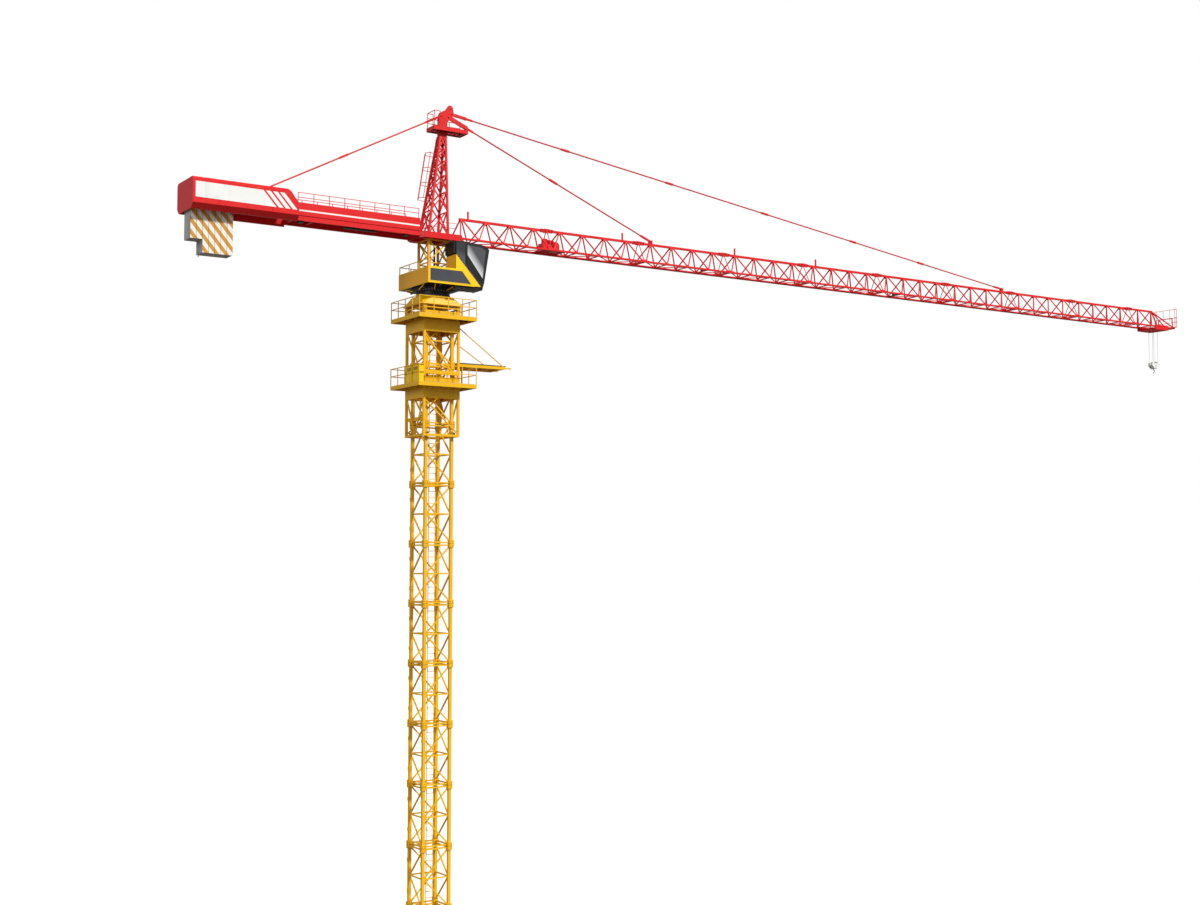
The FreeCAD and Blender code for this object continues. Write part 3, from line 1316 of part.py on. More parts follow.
def trolley_winch():
    """A tray on the bottom lacing with the drum, its motor and the rope guard."""
    half = size("jib_width") / 2 - size("lower_chord") / 2 - 2
    length, place, web = size("winch_length"), size("winch_place"), size("web_size")
    low = z_chord + web / 2
    x0, x1 = place - length / 2, place + length / 2
    bars = [block((x0, x1), (-half, half), (low, low + 8)),
            block((x0 + 60, x0 + 330), (-120, 120), (low, low + 190)),
            block((x0 + 120, x0 + 250), (-48, 48), (low, low + 330))]
    drum = Part.makeCylinder(88, 230, Vector(x0 + 480, -115, low + 150), Vector(0, 1, 0))
    bars.append(drum)
    for s in (-1, 1):
        y = s * 122
        bars.append(block((x0 + 380, x0 + 580), (y - 7, y + 7), (low, low + 160)))
    return fused(bars).cut(near_web.fuse(far_web))


lattice("trolley_winch", trolley_winch())

# ---------------------------------------------------------------------------
# Counter-jib: side beams, walkway, railings, housing and ballast
# ---------------------------------------------------------------------------
outer_y = "(counter_width / 2)"
beam_out = f"({outer_y} - fascia_thickness)"
beam_in = f"({beam_out} - counter_beam_width)"
run_len = "(counter_length - frame_rear)"
counter_parts = []
for i, s in enumerate((-1, 1)):
    def side_box(tag, width, inner_edge, height, z, length=run_len, start="-counter_length"):
        y = f"-({inner_edge}) - ({width})" if s < 0 else inner_edge
        return box(f"counter_{tag}_{i}", (length, width, height), (start, y, z))
    counter_parts.append(side_box("beam", "counter_beam_width", beam_in, "counter_beam_depth",
                                  "z_counter"))
    counter_parts.append(side_box("fascia", "fascia_thickness + 2", f"{beam_out} - 2",
                                  "fascia_depth",
                                  "z_counter + counter_beam_depth - fascia_depth"))
    counter_parts.append(side_box("ledge", "ledge_reach + 2", f"{beam_in} - ledge_reach",
                                  "ledge_depth", "z_counter + 80",
                                  "slab_count * slab_pitch + 60", "-counter_length + 20"))
for i, place in enumerate(("-frame_rear - 60", "-2100", "-3400", "-3900",
                           "-counter_length + slab_count * slab_pitch + 100")):
    counter_parts.append(box(f"counter_cross_{i}",
                             ("60", f"2 * {beam_in} + 4", "counter_beam_depth * 0.5"),
                             (place, f"-{beam_in} - 2", "z_counter + 40")))
counter_parts.append(box("tie_cross", ("100", f"2 * {beam_in} + 4", "120"),
                         ("-5050", f"-{beam_in} - 2", "z_counter + counter_beam_depth - 120")))
TIE_FOOT = -5000
tie_pin = "z_counter + counter_beam_depth + 60"
for i, s in enumerate((-1, 1)):
    ear_y = f"-{gap} - 14" if s < 0 else gap
    counter_parts.append(box(f"tie_ear_{i}", ("100", "14", "100"),
                             (f"{TIE_FOOT} - 50", ear_y, "z_counter + counter_beam_depth - 4")))
counter_parts.append(rod("tie_foot_pin", "pin_radius", "head_gap + 40",
                         (str(TIE_FOOT), f"{gap} + 20", tie_pin), ((1, 0, 0), 90)))
counter_parts.append(box("counter_walkway",
                         ("counter_length - housing_length - frame_rear - 20",
                          f"2 * {beam_in} + 4", "floor_thickness"),
                         ("-counter_length + housing_length", f"-{beam_in} - 2",
                          "z_counter + 38 + counter_beam_depth * 0.5")))
joined("counter_jib_beams", counter_parts)


def counter_railing(side):
    """Railing on a side beam, with a lower curved end at the housing."""
    rail = size("rail_size") * 0.75
    top = z_counter + size("counter_beam_depth")
    y = side * (size("counter_width") / 2 - 9)
    high = top + size("counter_rail")
    start, end = -size("counter_length") + size("housing_length") + 40, -size("frame_rear") - 40
    count = 8
    bars = []
    for k in range(count + 1):
        x = start + (end - start) * k / count
        bars.append(block((x - rail / 2, x + rail / 2), (y - rail / 2, y + rail / 2), (top, high)))
    for z in (high - rail / 2, top + size("counter_rail") * 0.5):
        bars.append(block((start, end), (y - rail / 2, y + rail / 2), (z - rail / 2, z + rail / 2)))
    return fused(bars)


lattice("counter_railings", Part.makeCompound([counter_railing(-1), counter_railing(1)]))

top_in = "(housing_width / 2 - 60)"
half_h = "(housing_width / 2)"
roof = "(housing_height - 35)"
HOUSING = [(f"-{half_h}", "85"), (f"-{half_h}", f"{roof} - 60"), (f"-{top_in}", roof),
           (top_in, roof), (half_h, f"{roof} - 60"), (half_h, "85"),
           (f"{half_h} - housing_drop", "-35"), (f"{outer_y} + 1", "-35"),
           (f"{outer_y} + 1", "counter_beam_depth + 0.5"),
           (f"-{outer_y} - 1", "counter_beam_depth + 0.5"), (f"-{outer_y} - 1", "-35"),
           (f"-{half_h} + housing_drop", "-35")]
housing = profile_pad("housing_block", "YZ_Plane", HOUSING, "housing_length",
                      ("-counter_length - 4", "0", "z_counter"))
SLANT = [("-counter_length + housing_length - 274", f"{roof} + 20"),
         ("-counter_length + housing_length", "counter_beam_depth - 75"),
         ("-counter_length + housing_length + 60", "counter_beam_depth - 75"),
         ("-counter_length + housing_length + 60", f"{roof} + 20")]
slant = profile_pad("housing_slant", "XZ_Plane", SLANT, "housing_width + 40",
                    ("0", "housing_width / 2 + 20", "z_counter"))
END = HOUSING[:7] + HOUSING[-1:]
end_plate = profile_pad("housing_end", "YZ_Plane", END, "board_thickness + 2",
                        ("-counter_length - 4 - board_thickness", "0", "z_counter"))
slanted = cut("housing_slanted", housing, slant)
closed = doc.addObject("Part::MultiFuse", "housing_closed")
closed.Shapes = [slanted, end_plate]
slot = box("housing_slot", ("620", "130", "400"), ("-5160", "-65", "z_counter + counter_beam_depth - 5"))
keep(cut("machinery_housing", closed, slot), "machinery_housing")

slab_top = "z_counter + 80 + ledge_depth + 80"
slabs = []
SLAB_NARROW = "(slab_width / 2)"
for k in range(int(size("slab_count"))):
    tall = "short_slab_height" if k < 2 else "slab_height"
    points = [("-slab_head / 2", "0"), ("slab_head / 2", "0"), ("slab_head / 2", "-80"),
              (SLAB_NARROW, "-80"), (SLAB_NARROW, f"-{tall}"), (f"-{SLAB_NARROW}", f"-{tall}"),
              (f"-{SLAB_NARROW}", "-80"), ("-slab_head / 2", "-80")]
    slabs.append(profile_pad(f"slab_{k}", "YZ_Plane", points, "slab_thickness",
                             (f"-counter_length + 50 + {k} * slab_pitch", "0", slab_top)))
grouped("ballast_slabs", slabs)


# ---------------------------------------------------------------------------
# Ties from the head to the jib and to the counter-jib, from end to end
# ---------------------------------------------------------------------------
def tie(a, b, couplings, near_link, near_length, far_length=360):
    """A round tie: a deep eyed link and a taper at a, an eyed link at b, and couplings."""
    a, b = Vector(*a), Vector(*b)
    run = (b - a).normalize()
    length = (b - a).Length
    thick = size("head_gap") - 6
    eye, link, taper = size("lug_radius"), size("link_size"), 190
    start = near_length + taper
    shapes = [Part.makeCylinder(size("tie_radius"), length - start - far_length + 20,
                                a + run * (start - 10), run)]
    for p, way, long, deep in ((a, run, near_length, near_link), (b, run * -1, far_length, link)):
        shapes.append(Part.makeCylinder(eye, thick, p - Vector(0, thick / 2, 0), Vector(0, 1, 0)))
        shapes.append(bar(tuple(p), tuple(p + way * long), deep, thick))
    boss = a + run * (near_length - near_link / 2)
    shapes.append(Part.makeCylinder(near_link * 0.45, thick + 24,
                                    boss - Vector(0, thick / 2 + 12, 0), Vector(0, 1, 0)))
    shapes.append(bar(tuple(a + run * (near_length - 20)), tuple(a + run * start), link,
                      thick * 0.8))
    for share in couplings:
        p = a + run * (length * share)
        shapes.append(bar(tuple(p - run * 130), tuple(p + run * 130), link, link * 0.8))
    shape = fused(shapes)
    for p in (a, b):
        hole = Part.makeCylinder(size("pin_radius") + size("pin_play"), 200,
                                 p - Vector(0, 100, 0), Vector(0, 1, 0))
        shape = shape.cut(hole)
    return shape


def pin_spot(name):
    return (PINS[name][0], 0, z_head + PINS[name][1])


rear_foot = (TIE_FOOT, 0, z_counter + size("counter_beam_depth") + 60)
lattice("rear_tie", tie(pin_spot("rear"), rear_foot, (0.52,), 60, 320))
lattice("inner_tie", tie(pin_spot("inner"), (JIB_PINS[0][0], 0, JIB_PINS[0][1]), (0.5,), 112, 600))
lattice("outer_tie", tie(pin_spot("outer"), (JIB_PINS[1][0], 0, JIB_PINS[1][1]),
                         (0.17, 0.34, 0.51, 0.68, 0.82), 78, 440))

# ---------------------------------------------------------------------------
# Trolley under the lower chords: two cheeks outside them, cross beams below
# ---------------------------------------------------------------------------
chord_out = "(jib_width / 2 + lower_chord / 2)"
cheek_in = f"({chord_out} + ledge_width + clearance)"
ledge_top = "(z_chord - lower_chord / 2 + ledge_thickness)"
wheel_z = f"({ledge_top} + wheel_radius + running_gap)"
half_run = "(trolley_length / 2)"
trolley_parts = []
for i, s in enumerate((-1, 1)):
    start = f"-{cheek_in} - cheek" if s < 0 else cheek_in
    trolley_parts.append(box(f"trolley_cheek_{i}",
                             ("trolley_length", "cheek", f"{wheel_z} + 24 - z_trolley"),
                             (f"trolley_place - {half_run}", start, "z_trolley")))
for i, place in enumerate((f"trolley_place - {half_run}", "trolley_place - fall_spread / 2 - 40",
                           "trolley_place + fall_spread / 2 - 40",
                           f"trolley_place + {half_run} - 80")):
    trolley_parts.append(box(f"trolley_beam_{i}", ("80", f"2 * {cheek_in} + 2", "60"),
                             (place, f"-{cheek_in} - 1", "z_trolley")))
for i, s in enumerate((-1, 1)):
    trolley_parts.append(box(f"trolley_long_{i}", ("trolley_length - 4", "40", "60"),
                             (f"trolley_place - {half_run} + 2", f"{s} * fall_width / 2 - 20",
                              "z_trolley")))
for i, sx in enumerate((-1, 1)):
    for k, s in enumerate((-1, 1)):
        start = f"-{chord_out} - 5" if s < 0 else f"{cheek_in} + cheek"
        trolley_parts.append(rod(f"trolley_axle_{i}{k}", "wheel_radius / 4",
                                 f"{cheek_in} + cheek - {chord_out} - 5",
                                 (f"trolley_place + {sx} * ({half_run} - 90)", start, wheel_z),
                                 ((1, 0, 0), 90)))
joined("trolley_frame", trolley_parts)

wheels = []
for i, sx in enumerate((-1, 1)):
    for k, s in enumerate((-1, 1)):
        start = f"-{chord_out} - 6" if s < 0 else f"{chord_out} + 6 + wheel_width"
        place = (f"trolley_place + {sx} * ({half_run} - 90)", start, wheel_z)
        disc = rod(f"wheel_disc_{i}{k}", "wheel_radius", "wheel_width", place, ((1, 0, 0), 90))
        bore = rod(f"wheel_bore_{i}{k}", "wheel_radius / 4 + pin_play", "wheel_width + 40",
                   (place[0], f"{start} + 20", place[2]), ((1, 0, 0), 90))
        wheels.append(cut(f"wheel_{i}{k}", disc, bore))
grouped("trolley_wheels", wheels)

# ---------------------------------------------------------------------------
# Hoist ropes, hook block and hook
# ---------------------------------------------------------------------------
falls = []
for i, sx in enumerate((-1, 1)):
    for k, s in enumerate((-1, 1)):
        falls.append(rod(f"fall_{i}{k}", "rope_radius", "fall_length",
                         (f"trolley_place + {sx} * fall_spread / 2", f"{s} * fall_width / 2",
                          "z_block")))
grouped("hoist_ropes", falls)

half_b, low_b = "(block_length / 2)", "block_height"
BLOCK = [(f"-{half_b}", "0"), (half_b, "0"), (half_b, f"-{low_b} * 0.45"),
         ("70", f"-{low_b}"), ("-70", f"-{low_b}"), (f"-{half_b}", f"-{low_b} * 0.45")]
block_body = profile_pad("block_body", "XZ_Plane", BLOCK, "block_width",
                         ("trolley_place", "block_width / 2", "z_block"))
swivel_hole = rod("swivel_hole", "hook_shank + running_gap", "70",
                  ("trolley_place", "0", f"z_block - {low_b} - 10"))
swivel_room = rod("swivel_room", "hook_shank * 2 + running_gap", "50 + 2 * running_gap",
                  ("trolley_place", "0", f"z_block - {low_b} + 45"))
swivel = doc.addObject("Part::MultiFuse", "swivel_room_whole")
swivel.Shapes = [swivel_hole, swivel_room]
keep(cut("hook_block", block_body, swivel), "hook_block")


def hook():
    """Shank with its nut held in the block, and an open bow below."""
    r, bow = size("hook_shank"), size("hook_bow")
    x, base = size("trolley_place"), z_block - size("block_height")
    gap_z = size("running_gap")
    nut = Part.makeCylinder(r * 2, 50, Vector(x, 0, base + 45 + gap_z))
    eye_z = base - 60
    shank = Part.makeCylinder(r, base + 46 + gap_z - eye_z, Vector(x, 0, eye_z))
    centre = Vector(x, 0, eye_z - bow)
    arc = Part.Arc(centre + Vector(0, 0, bow),
                   centre + Vector(bow * math.cos(-0.6), 0, bow * math.sin(-0.6)),
                   centre + Vector(-bow * math.cos(0.5), 0, bow * math.sin(-0.5)))
    path = Part.Wire([arc.toShape()])
    section = Part.Wire([Part.makeCircle(r * 0.9, centre + Vector(0, 0, bow), Vector(1, 0, 0))])
    curl = path.makePipeShell([section], True, True)
    return fused([nut, shank, curl, Part.makeSphere(r * 0.98, Vector(x, 0, eye_z))])


lattice("hook", hook())

# ---------------------------------------------------------------------------
# Checks on every object, then one STEP file for each sub-part
# ---------------------------------------------------------------------------
doc.recompute()
for obj in doc.Objects:
    if any(word in obj.State for word in ("Invalid", "Error")):
        raise SystemExit(f"{obj.Name} failed: {obj.State}")
for obj in NODES:
    shape = obj.Shape
    if shape.isNull() or not shape.isValid():
        raise SystemExit(f"{obj.Label} has no valid shape")
    if not shape.Solids:
        raise SystemExit(f"{obj.Label} has no solid")

os.makedirs("parts", exist_ok=True)
total = 0.0
for obj in NODES:
    obj.Shape.exportStep(os.path.join("parts", f"{obj.Label}.step"))
    total += obj.Shape.Volume
    box_of = obj.Shape.BoundBox
    print(f"{obj.Label:24s} solids {len(obj.Shape.Solids):3d}  {obj.Shape.Volume / 1e9:8.4f} m3  "
          f"x {box_of.XMin:8.1f} {box_of.XMax:8.1f}  z {box_of.ZMin:8.1f} {box_of.ZMax:8.1f}")
print(f"{len(NODES)} sub-parts, {total / 1e9:.3f} m3 of solid")
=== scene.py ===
# %% [markdown]
# A tower crane at half size: a yellow mast that stands on the ground, and red upper
# works that turn on it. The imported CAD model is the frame: every bar of the lattices is
# there already, in metres, with +X along the jib and +Z up. This lesson gives each part
# its finish, adds the fittings that are too fine for the CAD (bolts, gussets, gratings,
# window seals, sheaves, ropes) and sets the light and the camera.

# %% Load the frame
import bpy
import math
import numpy as np
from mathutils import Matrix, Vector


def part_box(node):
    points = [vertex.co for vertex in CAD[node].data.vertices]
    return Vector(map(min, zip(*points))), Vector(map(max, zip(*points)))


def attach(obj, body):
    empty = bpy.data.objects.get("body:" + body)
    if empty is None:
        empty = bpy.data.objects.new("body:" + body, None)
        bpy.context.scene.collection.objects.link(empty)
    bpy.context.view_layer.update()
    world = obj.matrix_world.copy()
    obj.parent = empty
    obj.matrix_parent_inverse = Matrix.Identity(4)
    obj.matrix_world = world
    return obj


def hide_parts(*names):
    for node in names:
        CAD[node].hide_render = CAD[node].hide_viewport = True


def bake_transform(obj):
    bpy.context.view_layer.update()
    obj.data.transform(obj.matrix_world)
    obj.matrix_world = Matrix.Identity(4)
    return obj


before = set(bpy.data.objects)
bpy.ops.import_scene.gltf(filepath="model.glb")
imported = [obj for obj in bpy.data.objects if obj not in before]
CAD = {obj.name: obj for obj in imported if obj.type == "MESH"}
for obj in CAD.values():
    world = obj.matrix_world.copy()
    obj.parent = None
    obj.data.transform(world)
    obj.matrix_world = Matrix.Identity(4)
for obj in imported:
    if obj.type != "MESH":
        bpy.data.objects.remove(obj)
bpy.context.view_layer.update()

# %% [markdown]
# The camera stands eighty real metres from the mast, about halfway up its height, and
# looks slightly up. A long lens keeps the jib's taper gentle. In this half-size model
# all its distances are halved, and the direction is given as a yaw from +Y towards +X
# and a pitch above the horizon.

# %% Camera
EYE = (-18.396, -35.516, 11.935)
YAW, PITCH, LENS = math.radians(33.50), math.radians(3.777), 47.16

camera_data = bpy.data.cameras.new("camera")
camera_data.lens, camera_data.sensor_width = LENS, 36.0
camera_data.clip_end = 600.0
camera = bpy.data.objects.new("camera", camera_data)
camera.location = EYE
camera.rotation_euler = (math.pi / 2 + PITCH, 0.0, -YAW)
bpy.context.scene.collection.objects.link(camera)
bpy.context.scene.camera = camera
print("camera at", EYE)

# %% [markdown]
# A studio for something this tall is a white room: a pale floor, a pale surround that
# fills the shadows, one wide soft key light from the front right and above, and a softer
# fill from the left. A sun lamp with a wide disc gives the same softness at every height.


# %% Floor and light
def put(name, points, faces, material):
    """Makes a mesh with its finish and links it as an object at the origin."""
    mesh = bpy.data.meshes.new(name)
    mesh.from_pydata(points, [], faces)
    mesh.materials.append(material)
    made = bpy.data.objects.new(name, mesh)
    bpy.context.scene.collection.objects.link(made)
    return made


def lamp(name, kind, energy, turn, **values):
    """A light that shines along -Z after its turn, given in degrees."""
    data = bpy.data.lights.new(name, kind)
    data.energy = energy
    for key, value in values.items():
        setattr(data, key, value)
    light = bpy.data.objects.new(name, data)
    light.rotation_euler = [math.radians(a) for a in turn]
    bpy.context.scene.collection.objects.link(light)


def plain(name, colour, rough):
    """A flat matte finish, for the room only."""
    material = bpy.data.materials.new(name)
    material.use_nodes = True
    shader = material.node_tree.nodes["Principled BSDF"]
    shader.inputs["Base Color"].default_value = (*colour, 1.0)
    shader.inputs["Roughness"].default_value = rough
    return material


ROOM = 260.0
pale = plain("pale_floor", (0.42, 0.42, 0.42), 0.95)
room_tree = pale.node_tree
seen = room_tree.nodes.new("ShaderNodeLightPath").outputs["Is Camera Ray"]
tone = room_tree.nodes.new("ShaderNodeMix")
tone.data_type = "RGBA"
tone.inputs[6].default_value = (0.16, 0.15, 0.14, 1.0)
tone.inputs[7].default_value = (1.0, 1.0, 1.0, 1.0)
room_tree.links.new(seen, tone.inputs[0])
room_tree.links.new(tone.outputs[2], room_tree.nodes["Principled BSDF"].inputs["Base Color"])
corners = [(ROOM, -ROOM, 0), (ROOM, ROOM, 0), (-ROOM, -ROOM, 0), (-ROOM, ROOM, 0)]
floor = put("floor", corners, [(0, 2, 3, 1)], pale)

lamp("key", "SUN", 3.5, (48, 0, 24), angle=math.radians(7), color=(1.0, 0.985, 0.955))
lamp("fill", "SUN", 1.0, (66, 0, -62), angle=math.radians(40), color=(0.94, 0.97, 1.0))
world = bpy.data.worlds.new("studio")
world.use_nodes = True
air = world.node_tree
surround = air.nodes["Background"]
surround.inputs["Color"].default_value = (0.93, 0.96, 1.0, 1.0)
surround.inputs["Strength"].default_value = 0.36
backdrop = air.nodes.new("ShaderNodeBackground")
backdrop.inputs["Color"].default_value = (1.0, 1.0, 1.0, 1.0)
backdrop.inputs["Strength"].default_value = 1.0
choice = air.nodes.new("ShaderNodeMixShader")
air.links.new(air.nodes.new("ShaderNodeLightPath").outputs["Is Camera Ray"], choice.inputs[0])
air.links.new(surround.outputs[0], choice.inputs[1])
air.links.new(backdrop.outputs[0], choice.inputs[2])
air.links.new(choice.outputs[0], air.nodes["World Output"].inputs["Surface"])
bpy.context.scene.world = world
bpy.context.scene.view_settings.view_transform = "Standard"
print("room, key, fill and surround ready")

# %% [markdown]
# The finishes are worked out from noise in the object's own coordinates, so that they
# stay put when a body turns. Crane enamel is a glossy coat over steel: its colour fades
# in broad clouds, rain leaves faint upright streaks, dirt gathers in specks, and the
# brushed coat leaves a fine orange peel. One function makes every enamel.


# %% Helpers for finishes
def node(tree, kind, settings=None, **sockets):
    """Adds a shader node: settings are its properties, sockets are values or links."""
    made = tree.nodes.new(kind)
    for key, value in (settings or {}).items():
        setattr(made, key, value)
    for key, value in sockets.items():
        socket = made.inputs[int(key[1:])] if key[0] == "i" and key[1:].isdigit() else \
            made.inputs[key]
        if isinstance(value, bpy.types.NodeSocket):
            tree.links.new(value, socket)
        else:
            socket.default_value = value
    return made


def start_finish(name, rough, **sockets):
    """A material whose Principled shader has these constant sockets; gives its parts."""
    material = bpy.data.materials.new(name)
    material.use_nodes = True
    tree = material.node_tree
    shader = tree.nodes["Principled BSDF"]
    shader.inputs["Roughness"].default_value = rough
    for key, value in sockets.items():
        shader.inputs[key.replace("_", " ")].default_value = value
    spot = node(tree, "ShaderNodeTexCoord").outputs["Object"]
    return material, tree, shader, spot


def scaled(tree, spot, scale):
    """The coordinates scaled by a Mapping node."""
    return node(tree, "ShaderNodeMapping", Vector=spot, Scale=scale).outputs["Vector"]


def noise(tree, spot, scale, detail=3.0, rough=0.55):
    """Cloud noise as a socket from 0 to 1."""
    return node(tree, "ShaderNodeTexNoise", Vector=spot, Scale=scale, Detail=detail,
                Roughness=rough).outputs["Fac"]


def between(tree, value, low, high, a=0.0, b=1.0):
    """A value brought from low..high to a..b, and held at the ends."""
    return node(tree, "ShaderNodeMapRange", Value=value,
                **{"From Min": low, "From Max": high, "To Min": a, "To Max": b}).outputs["Result"]


def maths(tree, how, *values):
    """One arithmetic step on sockets or numbers."""
    sockets = {f"i{k}": value for k, value in enumerate(values)}
    return node(tree, "ShaderNodeMath", {"operation": how}, **sockets).outputs["Value"]


def mixed(tree, share, a, b):
    """Colour a turned into colour b by a share; a and b are sockets or RGB triples."""
    full = [c if isinstance(c, bpy.types.NodeSocket) else (*c, 1.0) for c in (a, b)]
    return node(tree, "ShaderNodeMix", {"data_type": "RGBA"},
                i0=share, i6=full[0], i7=full[1]).outputs[2]


def bumped(tree, shader, height, distance, strength=0.5):
    """Height in metres times distance becomes the shader's normal."""
    made = node(tree, "ShaderNodeBump", Height=height, Distance=distance, Strength=strength)
    tree.links.new(made.outputs["Normal"], shader.inputs["Normal"])


def enamel(name, colour, faded, grime, rough=0.40, coat=0.12):
    """Crane enamel: fade in clouds, upright rain streaks, specks of grime, orange peel."""
    material, tree, shader, spot = start_finish(name, rough, Coat_Weight=coat,
                                                Coat_Roughness=0.15, Specular_IOR_Level=0.3)
    clouds = between(tree, noise(tree, spot, 1.3, 4.0), 0.35, 0.7, 0.0, 0.55)
    base = mixed(tree, clouds, colour, faded)
    rain = noise(tree, scaled(tree, spot, (16.0, 16.0, 0.9)), 1.0, 4.0, 0.6)
    base = mixed(tree, between(tree, rain, 0.56, 0.8, 0.0, 0.35), base, grime)
    specks = noise(tree, spot, 26.0, 5.0, 0.7)
    speckled = between(tree, specks, 0.66, 0.74, 0.0, 0.5)
    base = mixed(tree, speckled, base, grime)
    tree.links.new(base, shader.inputs["Base Color"])
    tree.links.new(between(tree, specks, 0.4, 0.75, rough - 0.05, rough + 0.22),
                   shader.inputs["Roughness"])
    bumped(tree, shader, noise(tree, spot, 180.0, 2.0), 0.0008, 0.35)
    return material


# %% Enamels
golden = enamel("golden_enamel", (0.82, 0.44, 0.0), (0.86, 0.50, 0.012), (0.24, 0.11, 0.01))
lemon = enamel("lemon_enamel", (0.96, 0.58, 0.0), (0.98, 0.66, 0.02), (0.42, 0.22, 0.01))
# The yellow darkened to amber: painted shade for back faces turned away from the key light.
yellow_painted_shade = enamel("yellow_painted_shade_enamel", (0.88, 0.42, 0.002), (0.92, 0.47, 0.02), (0.26, 0.11, 0.012))
scarlet = enamel("scarlet_enamel", (0.70, 0.004, 0.006), (0.74, 0.016, 0.014),
                 (0.16, 0.003, 0.004))
charcoal = enamel("charcoal_enamel", (0.004, 0.004, 0.004), (0.012, 0.012, 0.012),
                  (0.035, 0.03, 0.027), 0.46, 0.15)
slate = enamel("slate_enamel", (0.050, 0.052, 0.062), (0.075, 0.078, 0.09), (0.03, 0.028, 0.025),
               0.45, 0.1)
whitened = enamel("white_enamel", (0.83, 0.83, 0.81), (0.76, 0.76, 0.73), (0.42, 0.40, 0.36))
print("enamels:", golden.name, lemon.name, scarlet.name, charcoal.name, slate.name)

# %% [markdown]
# Bare and worn surfaces come next: zinc with its flakes for the gratings, greased steel
# for what turns, rubber round the panes, glass with a painted reflection (black under a
# slanting line, fading from pale to dark above it), cast concrete whose side faces carry
# slanting amber stripes, and pale wire rope.


# %% Metals, rubber, glass, concrete and rope
def worn_metal(name, dark, light, scale, rough, metallic, oil=(0.02, 0.017, 0.013)):
    """Metal whose tone and gloss change over patches, with oil in the hollows."""
    material, tree, shader, spot = start_finish(name, rough, Metallic=metallic)
    patches = node(tree, "ShaderNodeTexVoronoi", Vector=spot, Scale=scale).outputs["Color"]
    tone = node(tree, "ShaderNodeSeparateColor", Color=patches).outputs[0]
    base = mixed(tree, tone, dark, light)
    smear = noise(tree, spot, 9.0, 5.0, 0.65)
    base = mixed(tree, between(tree, smear, 0.5, 0.72, 0.0, 0.6), base, oil)
    tree.links.new(base, shader.inputs["Base Color"])
    tree.links.new(between(tree, smear, 0.35, 0.7, rough + 0.12, rough - 0.08),
                   shader.inputs["Roughness"])
    bumped(tree, shader, noise(tree, spot, 260.0, 3.0), 0.0005, 0.3)
    return material


def rubber_finish():
    """Black rubber with a dusty bloom and a fine grain."""
    material, tree, shader, spot = start_finish("seal_rubber", 0.62)
    bloom = between(tree, noise(tree, spot, 14.0, 4.0), 0.45, 0.75, 0.0, 0.5)
    tree.links.new(mixed(tree, bloom, (0.009, 0.009, 0.009), (0.035, 0.034, 0.032)),
                   shader.inputs["Base Color"])
    bumped(tree, shader, noise(tree, spot, 420.0, 2.0), 0.0004, 0.4)
    return material


def painted_reflection_glass(name, bright, dark, foot, head):
    """Glass with a painted reflection: black under a line from foot to head, over it from bright
    to dark.
    """
    material, tree, shader, spot = start_finish(name, 0.07, Metallic=0.25, Coat_Weight=0.6,
                                                Coat_Roughness=0.03)
    xyz = node(tree, "ShaderNodeSeparateXYZ", Vector=spot)
    slope = (head[1] - foot[1]) / (head[0] - foot[0])
    line = maths(tree, "MULTIPLY_ADD", xyz.outputs["X"], slope, foot[1] - slope * foot[0])
    over = maths(tree, "SUBTRACT", xyz.outputs["Z"], line)
    base = mixed(tree, between(tree, over, 0.02, 0.34), bright, dark)
    base = mixed(tree, between(tree, over, -0.012, 0.006), (0.012, 0.012, 0.014), base)
    dust = noise(tree, scaled(tree, spot, (60.0, 60.0, 5.0)), 1.0, 3.0)
    base = mixed(tree, between(tree, dust, 0.55, 0.8, 0.0, 0.16), base, (0.35, 0.34, 0.31))
    tree.links.new(base, shader.inputs["Base Color"])
    tree.links.new(between(tree, dust, 0.5, 0.8, 0.05, 0.3), shader.inputs["Roughness"])
    return material


SLAB, SLAB_START = 0.148, -6.43


def striped_concrete(half_width):
    """Cast concrete with pores. Beyond half_width in Y it has stripes, where X + 0.85 Z
    folds over, and dark joints between the slabs."""
    material, tree, shader, spot = start_finish("striped_concrete", 0.82)
    pores = noise(tree, spot, 70.0, 5.0, 0.7)
    stains = noise(tree, scaled(tree, spot, (7.0, 7.0, 1.2)), 1.0, 4.0)
    base = mixed(tree, between(tree, stains, 0.4, 0.7), (0.47, 0.46, 0.43), (0.30, 0.29, 0.27))
    xyz = node(tree, "ShaderNodeSeparateXYZ", Vector=spot)
    slant = maths(tree, "ADD", xyz.outputs["X"], maths(tree, "MULTIPLY", xyz.outputs["Z"], 0.85))
    wave = maths(tree, "PINGPONG", maths(tree, "MULTIPLY", slant, 4.1), 0.5)
    paint = mixed(tree, between(tree, wave, 0.245, 0.26), (0.82, 0.81, 0.78), (0.60, 0.27, 0.0))
    away = maths(tree, "SUBTRACT", xyz.outputs["X"], SLAB_START)
    away = maths(tree, "PINGPONG", away, SLAB / 2)
    paint = mixed(tree, between(tree, away, 0.003, 0.005), (0.02, 0.018, 0.015), paint)
    worn = maths(tree, "MULTIPLY", maths(tree, "GREATER_THAN",
                                         maths(tree, "ABSOLUTE", xyz.outputs["Y"]), half_width),
                 between(tree, pores, 0.62, 0.55, 0.35, 1.0))
    base = mixed(tree, worn, base, paint)
    tree.links.new(base, shader.inputs["Base Color"])
    bumped(tree, shader, pores, 0.004, 0.5)
    return material


